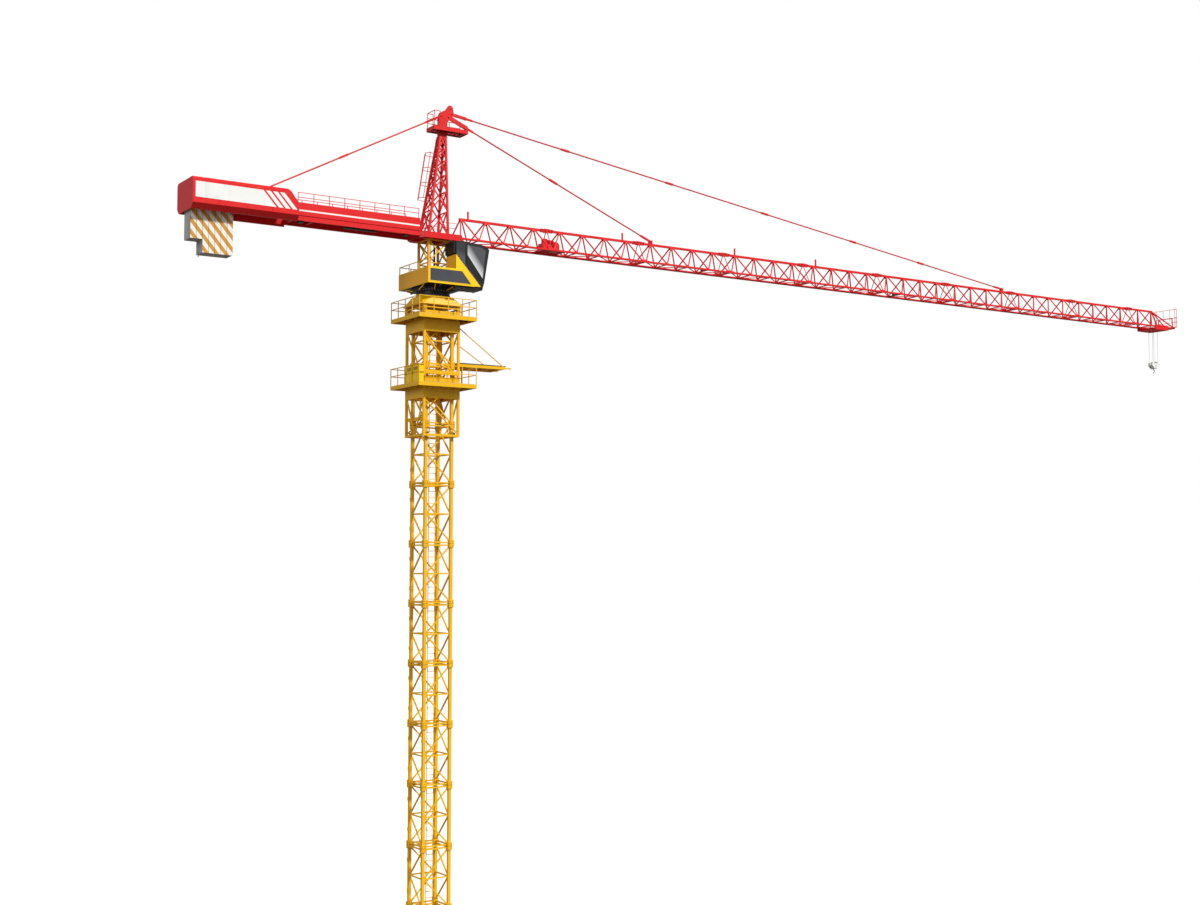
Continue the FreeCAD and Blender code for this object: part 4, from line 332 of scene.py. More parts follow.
galvanised = worn_metal("galvanised_steel", (0.30, 0.31, 0.31), (0.46, 0.47, 0.47), 42.0, 0.48,
                        0.65)
greased = worn_metal("greased_steel", (0.045, 0.042, 0.038), (0.10, 0.095, 0.09), 30.0, 0.42, 0.8)
zinc = worn_metal("zinc_bolts", (0.42, 0.40, 0.36), (0.60, 0.58, 0.53), 90.0, 0.35, 0.9)
wire = worn_metal("wire_rope_steel", (0.58, 0.55, 0.54), (0.74, 0.71, 0.70), 160.0, 0.45, 0.35,
                  (0.40, 0.36, 0.35))
rubber = rubber_finish()
cab_low, cab_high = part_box("cab_shell")
glass_x, glass_z = cab_low[0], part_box("slewing_deck")[1][2]
# Both panes carry a painted reflection in their colour: pale to dark above a slanting line, black
# below it.
pane = painted_reflection_glass("cab_pane", (0.78, 0.79, 0.80), (0.10, 0.10, 0.11),
                   (glass_x + 0.33, glass_z + 0.80), (glass_x + 0.78, glass_z + 0.22))
door_pane = painted_reflection_glass("door_pane", (0.16, 0.165, 0.18), (0.045, 0.046, 0.052),
                        (glass_x, glass_z + 0.60), (glass_x + 0.26, glass_z + 0.50))
concrete = striped_concrete(half_width=0.206)
print("metals and glass ready; cab from", cab_low[2], "to", cab_high[2])

# %% First coat on every CAD node
YELLOW = """base_frame mast_side_front mast_side_left mast_side_rear mast_side_right climbing_steps
mast_ladder rest_platforms cage_front cage_left cage_rear cage_right climbing_beam lower_platform
lower_railing upper_platform upper_railing section_platform slewing_support
deck_railing slewing_tower""".split()


def coat(names, material):
    """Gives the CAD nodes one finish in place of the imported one."""
    for name in names:
        slots = CAD[name].data.materials
        slots.clear()
        slots.append(material)


coat(CAD, scarlet)
coat(YELLOW, golden)
coat(["cab_side_panel", "pump_cabinet", "deck_boards"], lemon)
# The turntable and slewing deck take the near-black enamel as painted shade between the deck and
# the support; the cab shell is black itself.
coat(["cab_shell", "turntable", "slewing_deck"], charcoal)
coat(["bearing_lower_ring", "trolley_wheels"], greased)
coat(["hook"], zinc)
coat(["cab_glass"], pane)
coat(["ballast_slabs"], concrete)
coat(["hoist_ropes"], wire)
print("coats on", len(CAD), "nodes")

# %% [markdown]
# Every new fitting is one of five surfaces, each worked out for many copies at once:
#
# - lathes: a profile (s, r) turned about an axis, P = C + s A + r (cos t U + sin t V);
# - struts: a four-sided bar between two points, P = A or B plus half widths along U and V;
# - slabs: flat-faced blocks between a low and a high corner;
# - prisms: a drawn outline swept from one place to another along X, Y or Z;
# - tubes: circles set across a path, in the plane normal to its direction.
#
# Each gives rings of points, P[copy, ring, point]. One function joins the rings with
# quads, closes both ends, and turns the faces outward by the sign of the volume.


# %% Surfaces for many copies
AXES = {"x": np.array([[1.0, 0, 0], [0, 1, 0], [0, 0, 1]]),
        "y": np.array([[0.0, 1, 0], [0, 0, 1], [1, 0, 0]]),
        "z": np.array([[0.0, 0, 1], [1, 0, 0], [0, 1, 0]])}


def ringed(P):
    """Vertices and faces of P (copies, rings, points, 3), closed round and capped."""
    P = np.asarray(P, float)
    copies, m, n = P.shape[:3]
    c = np.arange(copies)[:, None, None] * m * n
    i, j = np.arange(m - 1)[None, :, None], np.arange(n)[None, None, :]
    k = (j + 1) % n
    quads = np.stack([c + i * n + j, c + (i + 1) * n + j, c + (i + 1) * n + k, c + i * n + k],
                     -1).reshape(-1, 4)
    first = c[:, 0] + np.arange(n)[None, :]
    last = first[:, ::-1] + (m - 1) * n
    a, b, d = (P.reshape(-1, 3)[quads[:, q]] for q in (0, 1, 2))
    e = P.reshape(-1, 3)[quads[:, 3]]
    middle = np.repeat(P.mean((1, 2)), (m - 1) * n, 0)
    side = np.einsum("ij,ij->i", np.cross(d - a, e - b), (a + d) / 2 - middle).sum()
    if side < 0:
        quads, first, last = quads[:, ::-1], first[:, ::-1], last[:, ::-1]
    return P.reshape(-1, 3), quads.tolist() + first.tolist() + last.tolist()


def lathes(centres, axis, profile, sides=12):
    """P = C + s A + r (cos t U + sin t V) for each (s, r) of the profile."""
    s, r = np.asarray(profile, float).T
    t = np.arange(sides) * 2 * math.pi / sides
    A, U, V = AXES[axis]
    turn = np.cos(t)[:, None] * U + np.sin(t)[:, None] * V
    shape = s[:, None, None] * A + r[:, None, None] * turn
    return ringed(np.asarray(centres, float).reshape(-1, 1, 1, 3) + shape)


def struts(starts, ends, wide, deep=None, up=(0.0, 0.0, 1.0), sides=4):
    """Bars from each start to each end; a bar of 4 sides is wide by deep, along up."""
    a, b = (np.asarray(p, float).reshape(-1, 3) for p in (starts, ends))
    run = (b - a) / np.linalg.norm(b - a, axis=1, keepdims=True)
    up = np.broadcast_to(np.asarray(up, float), run.shape)
    u = np.cross(run, up)
    u /= np.linalg.norm(u, axis=1, keepdims=True)
    v = np.cross(u, run)
    t = (np.arange(sides) + 0.5) * 2 * math.pi / sides
    grow = 1 / math.cos(math.pi / sides) / 2 if sides == 4 else 0.5
    across = (wide * grow * np.cos(t)[None, :, None] * u[:, None]
              + (deep or wide) * grow * np.sin(t)[None, :, None] * v[:, None])
    return ringed(np.stack([a[:, None] + across, b[:, None] + across], 1))


def slabs(low, high):
    """Blocks between matching rows of low and high corners."""
    low, high = np.broadcast_arrays(*(np.atleast_2d(np.asarray(c, float)) for c in (low, high)))
    square = np.array([[0, 0], [1, 0], [1, 1], [0, 1]])
    base = low[:, None, :2] + (high - low)[:, None, :2] * square
    rings = [np.concatenate([base, np.repeat(z[:, None, None], 4, 1)], -1)
             for z in (low[:, 2], high[:, 2])]
    return ringed(np.stack(rings, 1))


def prisms(outline, axis, spans):
    """The outline, as pairs along the two other axes in order, from low to high."""
    outline, spans = np.asarray(outline, float), np.atleast_2d(np.asarray(spans, float))
    k = "xyz".index(axis)
    rest = [q for q in range(3) if q != k]
    P = np.empty((len(spans), 2, len(outline), 3))
    P[..., rest] = outline
    P[..., k] = spans[:, :, None]
    return ringed(P)


def tubes(path, radius, sides=10, normal=(0.0, 1.0, 0.0)):
    """Circles across a path: P = path + r (cos t N + sin t (T x N)) for a flat path."""
    path = np.asarray(path, float)
    along = np.gradient(path, axis=0)
    along /= np.linalg.norm(along, axis=1, keepdims=True)
    flat = np.broadcast_to(np.asarray(normal, float), along.shape)
    over = np.cross(along, flat)
    t = np.arange(sides) * 2 * math.pi / sides
    ring = (np.cos(t)[None, :, None] * flat[:, None] + np.sin(t)[None, :, None] * over[:, None])
    return ringed((path[:, None] + radius * ring)[None])


def piece(name, parts, material, body, bevel=0.0):
    """Joins the parts into one mesh, shades it by angle and sets it on its body."""
    vertices, faces, count = [], [], 0
    for points, polygons in parts:
        vertices.append(points)
        faces += [[q + count for q in polygon] for polygon in polygons]
        count += len(points)
    made = put(name, np.concatenate(vertices).tolist(), faces, material)
    made.data.shade_smooth()
    made.data.set_sharp_from_angle(angle=math.radians(35.0))
    if body:
        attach(made, body)
    if bevel:
        rounding = made.modifiers.new("bevel", "BEVEL")
        rounding.width, rounding.segments, rounding.limit_method = bevel, 2, "ANGLE"
    print(f"{name}: {len(faces)} faces")
    return made


def rows(x, y, z):
    """Points side by side from arrays along X, Y and Z; a single number is repeated."""
    return np.stack(np.broadcast_arrays(x, y, z), -1)


def mixed_grid(*axes):
    """Every combination of the given values, one row each."""
    return np.stack(np.meshgrid(*[np.asarray(a, float) for a in axes], indexing="ij"),
                    -1).reshape(-1, len(axes))


def hexes(centres, axis, radius, height):
    """Bolt heads with a chamfer and the end of their stud, standing out along the axis."""
    way = 1.0 if height > 0 else -1.0
    h = abs(height)
    head = [(0, radius), (h * 0.75 * way, radius), (h * way, radius * 0.86)]
    stud = [(h * 0.9 * way, radius * 0.5), (h * 1.35 * way, radius * 0.5),
            (h * 1.5 * way, radius * 0.4)]
    return [lathes(centres, axis, head, 6), lathes(centres, axis, stud, 8)]


def grate(x0, x1, y0, y1, top, pitch=0.034, cross=0.11, deep=0.012):
    """An open grating: bearing bars along X at a pitch, and lower cross bars along Y."""
    ys = np.arange(y0 + pitch / 2, y1, pitch)
    xs = np.arange(x0 + cross / 2, x1, cross)
    bearing = slabs(rows(x0, ys - 0.002, top - deep), rows(x1, ys + 0.002, top))
    tie = slabs(rows(xs - 0.003, y0, top - deep), rows(xs + 0.003, y1, top - 0.003))
    edge = slabs([[x0, y0 - 0.003, top - deep], [x0, y1 - 0.003, top - deep]],
                 [[x1, y0 + 0.003, top], [x1, y1 + 0.003, top]])
    return [bearing, tie, edge]


def grate_round(low, high, hole, top, **values):
    """Four gratings round a square hole of that half width."""
    x0, y0, x1, y1 = low[0] + 0.045, low[1] + 0.045, high[0] - 0.045, high[1] - 0.045
    return (grate(x0, x1, y0, -hole, top, **values) + grate(x0, x1, hole, y1, top, **values)
            + grate(x0, -hole, -hole, hole, top, **values)
            + grate(hole, x1, -hole, hole, top, **values))


print("surfaces ready")

# %% [markdown]
# The mast comes in sections 1.5 m high. Where two meet, each leg has a sleeve with a dark
# seam round it and fish-plate bolts through it. The cage climbs the mast on guide rollers
# and is pushed up by two rams that stand on the climbing beam.

# %% Mast joints
LEG, SLEEVE = 0.3625, 0.422
joints = 1.75 + 1.5 * np.arange(11)
bolt_rows = np.array([-0.068, -0.028, 0.028, 0.068])
bolts = []
for sign in (-1.0, 1.0):
    heads = mixed_grid([sign * SLEEVE], [-LEG - 0.028, -LEG + 0.028, LEG - 0.028, LEG + 0.028],
                       (joints[:, None] + bolt_rows).ravel())
    bolts += hexes(heads, "x", 0.0125, 0.010 * sign)
    bolts += hexes(heads[:, [1, 0, 2]], "y", 0.0125, 0.010 * sign)
piece("mast_joint_bolts", bolts, golden, "mast")

leg_spots = mixed_grid([-LEG, LEG], [-LEG, LEG], joints)
half = 0.0610
seams = slabs(leg_spots - [half, half, 0.0025], leg_spots + [half, half, 0.0025])
lips = [slabs(leg_spots + [-half - 0.001, -half - 0.001, z - 0.004],
              leg_spots + [half + 0.001, half + 0.001, z + 0.004]) for z in (-0.088, 0.088)]
piece("mast_joint_seams", [seams], charcoal, "mast")
piece("mast_sleeve_lips", lips, golden, "mast", bevel=0.0015)

# %% Feet of the base frame
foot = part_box("base_frame")[1][0] - 0.035
anchors = mixed_grid([-foot, foot], [-foot, foot], [0.140])
washer = lathes(anchors, "z", [(0, 0.032), (0.008, 0.032), (0.009, 0.029)], 20)
piece("anchor_bolts", [washer] + hexes(anchors + [0, 0, 0.009], "z", 0.022, 0.018), zinc, "mast")

# %% Guide rollers and climbing rams
roller_z = [15.035, 16.07, 17.76]
wheel = [(-0.020, 0.016), (-0.020, 0.022), (-0.017, 0.0255), (0.017, 0.0255), (0.020, 0.022),
         (0.020, 0.016)]
hub = [(-0.032, 0.007), (0.032, 0.007)]
rollers, brackets = [], []
for sign in (-1.0, 1.0):
    along_y = mixed_grid([-LEG, LEG], [sign * 0.4265], roller_z)
    for spots, axis in ((along_y, "x"), (along_y[:, [1, 0, 2]], "y")):
        rollers += [lathes(spots, axis, wheel, 24), lathes(spots, axis, hub, 10)]
        axle = AXES[axis][0]
        reach, gap, out = 0.004 * axle, 0.028 * axle, sign * (np.array([1.0, 1.0, 0.0]) - axle)
        for side in (-1.0, 1.0):
            centre = spots + side * gap
            tip = centre + out * 0.030
            low = np.minimum(centre - reach - [0, 0, 0.016], tip - reach - [0, 0, 0.024])
            high = np.maximum(centre + reach + [0, 0, 0.016], tip + reach + [0, 0, 0.024])
            brackets.append(slabs(low, high))
piece("guide_rollers", rollers, greased, "mast")
piece("roller_brackets", brackets, golden, "mast", bevel=0.0015)

ram_feet = mixed_grid([-0.4265], [-0.17, 0.17], [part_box("climbing_beam")[1][2]])
barrel = [(0.11, 0.012), (0.11, 0.021), (0.122, 0.0225), (0.135, 0.020), (0.66, 0.020),
          (0.672, 0.0225), (0.70, 0.0225), (0.70, 0.008)]
piston = [(0.0, 0.011), (0.115, 0.011)]
eye = [(-0.012, 0.006), (-0.012, 0.018), (0.012, 0.018), (0.012, 0.006)]
piece("ram_barrels", [lathes(ram_feet, "z", barrel, 24),
                      lathes(ram_feet + [0, 0, 0.712], "y", eye, 16)], lemon, "mast")
piece("ram_rods", [lathes(ram_feet, "z", piston, 16),
                   lathes(ram_feet + [0, 0, 0.012], "y", eye, 16)], zinc, "mast")

# %% [markdown]
# The work platforms have open gratings on their floors and channels beneath. The pump
# cabinet has two doors with louvres, hinges and handles.

# %% Gratings and ribs of the work platforms
gratings, ribs = [], []
for name, hole in (("lower_platform", 0.53), ("upper_platform", 0.535)):
    low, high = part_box(name)
    gratings += grate_round(low, high, hole, high[2] + 0.012)
    under = high[2] - 0.014
    xs = np.array([-0.68, -0.30, 0.30, 0.68])
    for y0, y1 in ((low[1] + 0.04, -hole - 0.02), (hole + 0.02, high[1] - 0.04)):
        ribs.append(slabs(rows(xs - 0.012, y0, under - 0.055), rows(xs + 0.012, y1, under)))
    ys = np.array([-0.36, 0.0, 0.36])
    for x0, x1 in ((low[0] + 0.04, -hole - 0.02), (hole + 0.02, high[0] - 0.04)):
        ribs.append(slabs(rows(x0, ys - 0.012, under - 0.055), rows(x1, ys + 0.012, under)))
piece("platform_gratings", gratings, galvanised, "mast")
# The channels are near-black under the yellow platforms: painted shade beneath the floors.
piece("platform_ribs", ribs, charcoal, "mast")

section_end, section_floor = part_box("section_platform")[1][0], 16.862
piece("section_grating", grate(0.58, section_end - 0.12, -0.31, 0.31, section_floor), greased,
      "mast")

# %% Doors of the pump cabinet
pump_low, pump_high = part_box("pump_cabinet")
x = pump_low[0]
middle_y = (pump_low[1] + pump_high[1]) / 2
doors, fittings, louvres = [], [], []
for y0, y1 in ((pump_low[1] + 0.02, middle_y - 0.008), (middle_y + 0.008, pump_high[1] - 0.02)):
    z0, z1 = pump_low[2] + 0.025, pump_high[2] - 0.025
    doors.append(slabs([x - 0.006, y0, z0], [x + 0.004, y1, z1]))
    lines = z1 - 0.06 - 0.018 * np.arange(5)
    louvres.append(slabs(rows(x - 0.010, y0 + 0.05, lines),
                         rows(x - 0.004, y1 - 0.05, lines + 0.007)))
    hinge = mixed_grid([x - 0.007], [y0 + 0.004], [z0 + 0.05, z1 - 0.05])
    fittings.append(lathes(hinge, "z", [(-0.02, 0.006), (0.02, 0.006)], 10))
    out, up = np.array([[0.006, 0.18], [0.026, 0.185], [0.028, 0.20], [0.028, 0.23],
                        [0.026, 0.245], [0.006, 0.25]]).T
    fittings.append(tubes(rows(x - out, y1 - 0.035, z0 + up), 0.005, 8))
piece("cabinet_doors", doors, lemon, "mast", bevel=0.003)
piece("cabinet_louvres", louvres, charcoal, "mast")
piece("cabinet_fittings", fittings, greased, "mast")

# %% Bolts of the slewing ring
angle = np.arange(36) * math.pi / 18
circle = np.stack([np.cos(angle), np.sin(angle), np.zeros(36)], 1)
ring_low, ring_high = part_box("bearing_lower_ring")
TABLE_UNDER = 18.6505
piece("support_bolts", hexes(circle * 0.455 + [0, 0, ring_low[2]], "z", 0.013, 0.012), zinc,
      "mast")
piece("turntable_bolts", hexes(circle * 0.452 + [0, 0, TABLE_UNDER], "z", 0.013, -0.012), zinc,
      "upper_works")
band = [(-0.012, 0.424), (-0.012, 0.434), (0.012, 0.434), (0.012, 0.424)]
piece("ring_seal", [lathes([0, 0, ring_high[2] - 0.013], "z", band, 96)], rubber, "mast")

# %% [markdown]
# The slewing deck carries two gear motors whose pinions turn it, and a bare slate panel
# with a bright border fills each long side board. The cab hangs beside the tower.

# %% Slewing gear motors and the slip-ring column
deck_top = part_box("slewing_deck")[1][2]
motor = [(0.0, 0.085), (0.014, 0.085), (0.014, 0.062), (0.10, 0.062), (0.105, 0.070),
         (0.125, 0.070), (0.13, 0.056), (0.19, 0.056), (0.195, 0.066), (0.208, 0.066),
         (0.21, 0.052)]
fins = [(0.22 + 0.012 * k + d, r) for k in range(10) for d, r in
        ((0.0, 0.046), (0.001, 0.053), (0.005, 0.053), (0.006, 0.046))]
cap = [(0.345, 0.050), (0.375, 0.048), (0.385, 0.038)]
spots = np.array([[-0.22, -0.44, deck_top], [-0.22, 0.44, deck_top]])
flange = np.arange(8) * math.pi / 4
around = np.stack([0.074 * np.cos(flange), 0.074 * np.sin(flange), np.full(8, 0.014)], 1)
piece("slewing_motors", [lathes(spots, "z", motor + fins + cap, 32)], charcoal, "upper_works")
piece("motor_bolts", hexes((spots[:, None] + around).reshape(-1, 3), "z", 0.007, 0.006), zinc,
      "upper_works")
column = [(-0.05, 0.075), (0.25, 0.075), (0.26, 0.060), (0.32, 0.060), (0.325, 0.068),
          (0.345, 0.068), (0.35, 0.056), (0.42, 0.056), (0.43, 0.04)]
CABLE_TOP = 19.98
trays = struts([[0.03, 0.0, deck_top + 0.4]], [[0.03, 0.0, CABLE_TOP]], 0.05, 0.03, up=(1, 0, 0))
piece("slip_ring_column", [lathes([0.0, 0.0, deck_top], "z", column, 32), trays], charcoal,
      "upper_works")

# %% Ladder inside the slewing tower
rails = mixed_grid([-0.12], [-0.095, 0.095], [deck_top])
steps = mixed_grid([-0.12], [-0.095], deck_top + 0.12 + 0.14 * np.arange(8))
piece("tower_ladder", [struts(rails, rails + [0, 0, 1.2], 0.016, 0.010, up=(1, 0, 0)),
                       struts(steps, steps + [0, 0.19, 0], 0.011, sides=8)], golden, "upper_works")

# %% Panels let into the side boards
board_low, board_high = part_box("deck_boards")
z0, z1 = board_low[2], board_high[2]
x0, run = board_low[0], 0.345
x1 = board_high[0]


def inner_outline(edge):
    """The side board's outline, brought in by an edge: a slope of run over its height."""
    tall = z1 - z0
    slant = math.hypot(run, tall)
    end = x1 - edge * slant / tall
    return [(x0 + edge, z0 + edge), (end - run * edge / tall, z0 + edge),
            (end - run * (tall - edge) / tall, z1 - edge), (x0 + edge, z1 - edge)]


def frame_strips(outline, width, axis, span):
    """Four mitred strips inside an outline, swept over a span along the axis."""
    outer = np.array(outline)
    middle = outer.mean(0)
    back, ahead = outer - np.roll(outer, 1, 0), np.roll(outer, -1, 0) - outer
    n1, n2 = (np.stack([-d[:, 1], d[:, 0]], 1) / np.linalg.norm(d, axis=1)[:, None]
              for d in (back, ahead))
    inward = np.sign(((middle - outer) * n2).sum(1).mean())
    mitre = (n1 + n2) / (1 + (n1 * n2).sum(1))[:, None] * inward
    inner = outer + mitre * width
    after = np.roll(np.arange(len(outer)), -1)
    return [prisms(np.array([outer[i], outer[j], inner[j], inner[i]]), axis, span)
            for i, j in enumerate(after)]


panels, borders = [], []
for face, way in ((board_low[1], -1.0), (board_high[1], 1.0)):
    panels.append(prisms(inner_outline(0.052), "y",
                         sorted((face - 0.004 * way, face + 0.003 * way))))
    borders += frame_strips(inner_outline(0.036), 0.018, "y",
                            sorted((face - 0.004 * way, face + 0.006 * way)))
piece("side_panels", panels, slate, "upper_works")
piece("side_panel_borders", borders, lemon, "upper_works", bevel=0.0015)

# The plate on the rear board is in the darkened yellow: painted shade on the back face.
rear = board_low[0]
rear_plate = slabs([rear - 0.003, board_low[1] + 0.012, z0 + 0.012],
                   [rear + 0.002, board_high[1] - 0.012, z1 - 0.012])
rear_spots = mixed_grid([rear - 0.003], np.linspace(board_low[1] + 0.05, board_high[1] - 0.05, 9),
                        [z0 + 0.035, z1 - 0.035])
piece("rear_board_plate", [rear_plate, lathes(rear_spots, "x", [(0, 0.010), (-0.004, 0.009),
                                                                (-0.006, 0.004)], 12)], yellow_painted_shade,
      "upper_works", bevel=0.0015)

# %% Struts under the deck
STRUT_FOOT, DECK_UNDER = 18.655, 18.742
strut_from, strut_to = [], []
for way in (-1.0, 1.0):
    for share in (-0.45, 0.3):
        strut_from.append((share * 0.478, way * 0.482, STRUT_FOOT))
        strut_to.append((share * 0.75, way * 0.785, DECK_UNDER))
    strut_from.append((-0.482, way * 0.165, STRUT_FOOT))
    strut_to.append((-0.535, way * 0.54, DECK_UNDER))
piece("deck_struts", [struts(strut_from, strut_to, 0.021, 0.021, up=(0.0, 0.1, 1.0))], golden,
      "upper_works", bevel=0.001)

# %% [markdown]
# The cab is a dark shell. Its panes sit in rubber seals, a slate door pane stands behind
# the main window, and a black strip with small pale ticks follows the edge of its bright
# side panel. Under it is a black tray.

# %% Cab seals and panes
X, Z, near = cab_low[0], deck_top, cab_low[1]
far = cab_high[1]
side_window = [(X + 0.330, Z + 0.788), (X + 0.330, Z + 1.048), (X + 0.720, Z + 1.028),
               (X + 0.865, Z + 0.953), (X + 0.765, Z + 0.150), (X + 0.690, Z + 0.150)]
seals = [strip for face in (near, far)
         for strip in frame_strips(side_window, -0.016, "y", (face - 0.006, face + 0.006))]
seam = 0.785 / 0.725


def on_seam(x, lift):
    """Height over the slanting edge of the side panel at x, plus a lift."""
    return Z + 0.785 - (x - X) * seam + lift


door = [(X + 0.020, on_seam(X + 0.020, 0.04)), (X + 0.020, Z + 1.085), (X + 0.262, Z + 1.085),
        (X + 0.262, on_seam(X + 0.262, 0.04))]
seals += frame_strips(door, -0.012, "y", (near - 0.007, near + 0.002))
piece("window_seals", seals, rubber, "upper_works", bevel=0.002)
piece("door_glass", [prisms(door, "y", (near - 0.003, near + 0.001))], door_pane, "upper_works")

panel_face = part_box("cab_side_panel")[0][1]
strip = np.array([(X + 0.0, on_seam(X + 0.0, -0.012)), (X + 0.0, on_seam(X, 0.030)),
                  (X + 0.745, on_seam(X + 0.745, 0.030)), (X + 0.715, on_seam(X + 0.715, -0.012))])
piece("seam_strip", [prisms(strip, "y", (panel_face - 0.002, near + 0.001))], charcoal,
      "upper_works", bevel=0.001)
tick_x = X + 0.03 + 0.031 * np.arange(22)
ticks = rows(tick_x, panel_face - 0.002, on_seam(tick_x, 0.009))
piece("seam_ticks", [struts(ticks + [-0.004, 0, -0.006], ticks + [0.004, 0, 0.006], 0.006, 0.003,
                            up=(0, 1, 0))], whitened, "upper_works")

# %% Cab back, tray, wiper and roof
back = X - 0.0005
# The lower back panel is in the darkened yellow: painted shade on the cab's back face.
lower_back = slabs([back - 0.006, near + 0.012, Z + 0.02], [back + 0.002, far - 0.012, Z + 0.775])
ledges = slabs([[back - 0.009, near + 0.012, Z + 0.42], [back - 0.009, near + 0.20, Z + 0.02]],
               [[back - 0.001, far - 0.012, Z + 0.435], [back - 0.001, near + 0.212, Z + 0.775]])
piece("cab_back_panel", [lower_back, ledges], yellow_painted_shade, "upper_works", bevel=0.003)
hood = slabs([[back - 0.055, near + 0.02, Z + 0.80], [back - 0.004, near + 0.014, Z + 0.778]],
             [[back + 0.002, far - 0.02, Z + 1.10], [back + 0.002, far - 0.014, Z + 0.80]])
vents = np.arange(9)
vent = slabs(rows(back - 0.060, near + 0.06, Z + 0.83 + 0.026 * vents),
             rows(back - 0.050, far - 0.06, Z + 0.840 + 0.026 * vents))
piece("cab_back_box", [hood, vent], charcoal, "upper_works", bevel=0.003)
TRAY_TOP, TRAY_FOOT = 18.744, 18.690
tray = prisms([(X + 0.02, TRAY_TOP), (X + 0.80, TRAY_TOP), (X + 0.76, TRAY_FOOT),
               (X + 0.04, TRAY_FOOT)], "y", (near + 0.02, far - 0.02))
ribs = slabs([[X + 0.02 + 0.18 * k, near + 0.01, 18.684] for k in range(5)],
             [[X + 0.05 + 0.18 * k, far - 0.01, DECK_UNDER] for k in range(5)])
piece("cab_tray", [tray, ribs], charcoal, "upper_works", bevel=0.002)
roof = slabs([[X + 0.02, near + 0.03, Z + 1.116], [X + 0.04, near + 0.06, Z + 1.126]],
             [[X + 0.30, far - 0.03, Z + 1.128], [X + 0.27, far - 0.06, Z + 1.134]])
piece("cab_roof_hatch", [roof], charcoal, "upper_works", bevel=0.003)

lean = (0.960 - 0.815) / (0.973 - 0.105)
front_x = X + 0.815 + 0.012 + (0.150 - 0.105) * lean
arm_low = np.array([front_x + 0.02, (near + far) / 2, Z + 0.20])
arm_high = arm_low + [0.42 * lean, 0.10, 0.42]
blade = np.array([[arm_high[0] + 0.001 - 0.16 * lean, arm_high[1], arm_high[2] - 0.16],
                  [arm_high[0] + 0.001 + 0.16 * lean, arm_high[1], arm_high[2] + 0.16]])
wiper = [struts([arm_low], [arm_high], 0.010, 0.006, up=(1, 0, 0)),
         struts([blade[0]], [blade[1]], 0.012, 0.008, up=(0, 1, 0)),
         lathes([arm_low - [0.012, 0, 0]], "x", [(0, 0.018), (0.014, 0.018), (0.018, 0.012)], 16)]
piece("cab_wiper", wiper, rubber, "upper_works")
out, up = np.array([[0.001, 0.60], [0.026, 0.61], [0.030, 0.64], [0.030, 0.92], [0.026, 0.95],
                    [0.001, 0.96]]).T
grab = rows(X + 0.29, near - out, Z + up)
piece("cab_grab_rail", [tubes(grab, 0.006, 10, normal=(1, 0, 0))], charcoal, "upper_works")

# %% [markdown]
# The base frame, the tower head and its platform take handrails, gratings and pin caps.

# %% Base frame and tower head
frame_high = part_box("jib_base_frame")[1]
top = frame_high[2]
rail_parts = []
for sign in (-1.0, 1.0):
    y = sign * (frame_high[1] - 0.02)
    posts = mixed_grid(np.linspace(-0.42, 0.44, 4), [y], [top - 0.01])
    rail_parts.append(struts(posts, posts + [0, 0, 0.29], 0.012, sides=8))
    for z in (0.15, 0.28):
        rail_parts.append(struts([[-0.43, y, top + z]], [[0.45, y, top + z]], 0.012, sides=8))
piece("base_frame_rails", rail_parts, scarlet, "upper_works")

stage_low, stage_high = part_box("top_platform")
top_grate = []
for y0, y1 in ((stage_low[1] + 0.02, -0.052), (0.052, stage_high[1] - 0.02)):
    top_grate += grate(stage_low[0] + 0.02, stage_high[0] - 0.02, y0, y1,
                       stage_low[2] + 0.1 - 0.016, pitch=0.026, cross=0.09)
piece("top_gratings", top_grate, greased, "upper_works")
bearers = np.linspace(stage_low[0] + 0.06, stage_high[0] - 0.05, 9)
under = slabs(rows(bearers - 0.010, stage_low[1] + 0.016, stage_low[2] - 0.004),
              rows(bearers + 0.010, stage_high[1] - 0.016, stage_low[2] + 0.03))
piece("top_bearers", [under], charcoal, "upper_works")

PINS = np.array([[0.190, 0, 23.2605], [0.400, 0, 23.2655], [0.492, 0, 23.3505],
                 [0.455, 0, 23.4905]])
caps = []
for sign in (-1.0, 1.0):
    cap_profile = [(sign * s, r) for s, r in ((0.036, 0.030), (0.046, 0.030), (0.050, 0.026),
                                              (0.050, 0.016), (0.058, 0.016), (0.060, 0.013))]
    caps.append(lathes(PINS, "y", cap_profile, 20))
piece("head_pin_caps", caps, scarlet, "upper_works")

# %% [markdown]
# On the jib each joint of the webs has a gusset, each splice has its bolts, and dark
# rollers between the chords keep the hoist rope off the lacing.

# %% Jib gussets, splices and rope rollers
PITCH, SECTION, FIRST = 0.725, 3.0, 0.8
apexes = (FIRST + SECTION * np.arange(9)[:, None] + PITCH * np.arange(4)).ravel()
chord_z, upper_z = 20.0655, 20.6305
half_y = 0.3075
lean_in = np.array([0.0, -half_y, upper_z - chord_z])
lean_in /= np.linalg.norm(lean_in)
feet = np.unique(np.round(np.concatenate([apexes - PITCH / 2, apexes + PITCH / 2]), 4))
feet = feet[feet > 0.75]
plates = []
for sign in (-1.0, 1.0):
    side = lean_in * [1, sign, 1]
    normal = np.cross(side, [1, 0, 0])
    foot_points = mixed_grid(feet, [sign * half_y], [chord_z])
    for start, end, wide in ((0.018, 0.060, 0.090), (0.060, 0.080, 0.055)):
        plates.append(struts(foot_points + side * start, foot_points + side * end, wide, 0.005,
                             up=normal))
    head = mixed_grid(apexes, [sign * 0.018], [upper_z])
    plates.append(struts(head - side * 0.075, head - side * 0.020, 0.075, 0.005, up=normal))
piece("jib_gussets", plates, scarlet, "upper_works", bevel=0.0012)

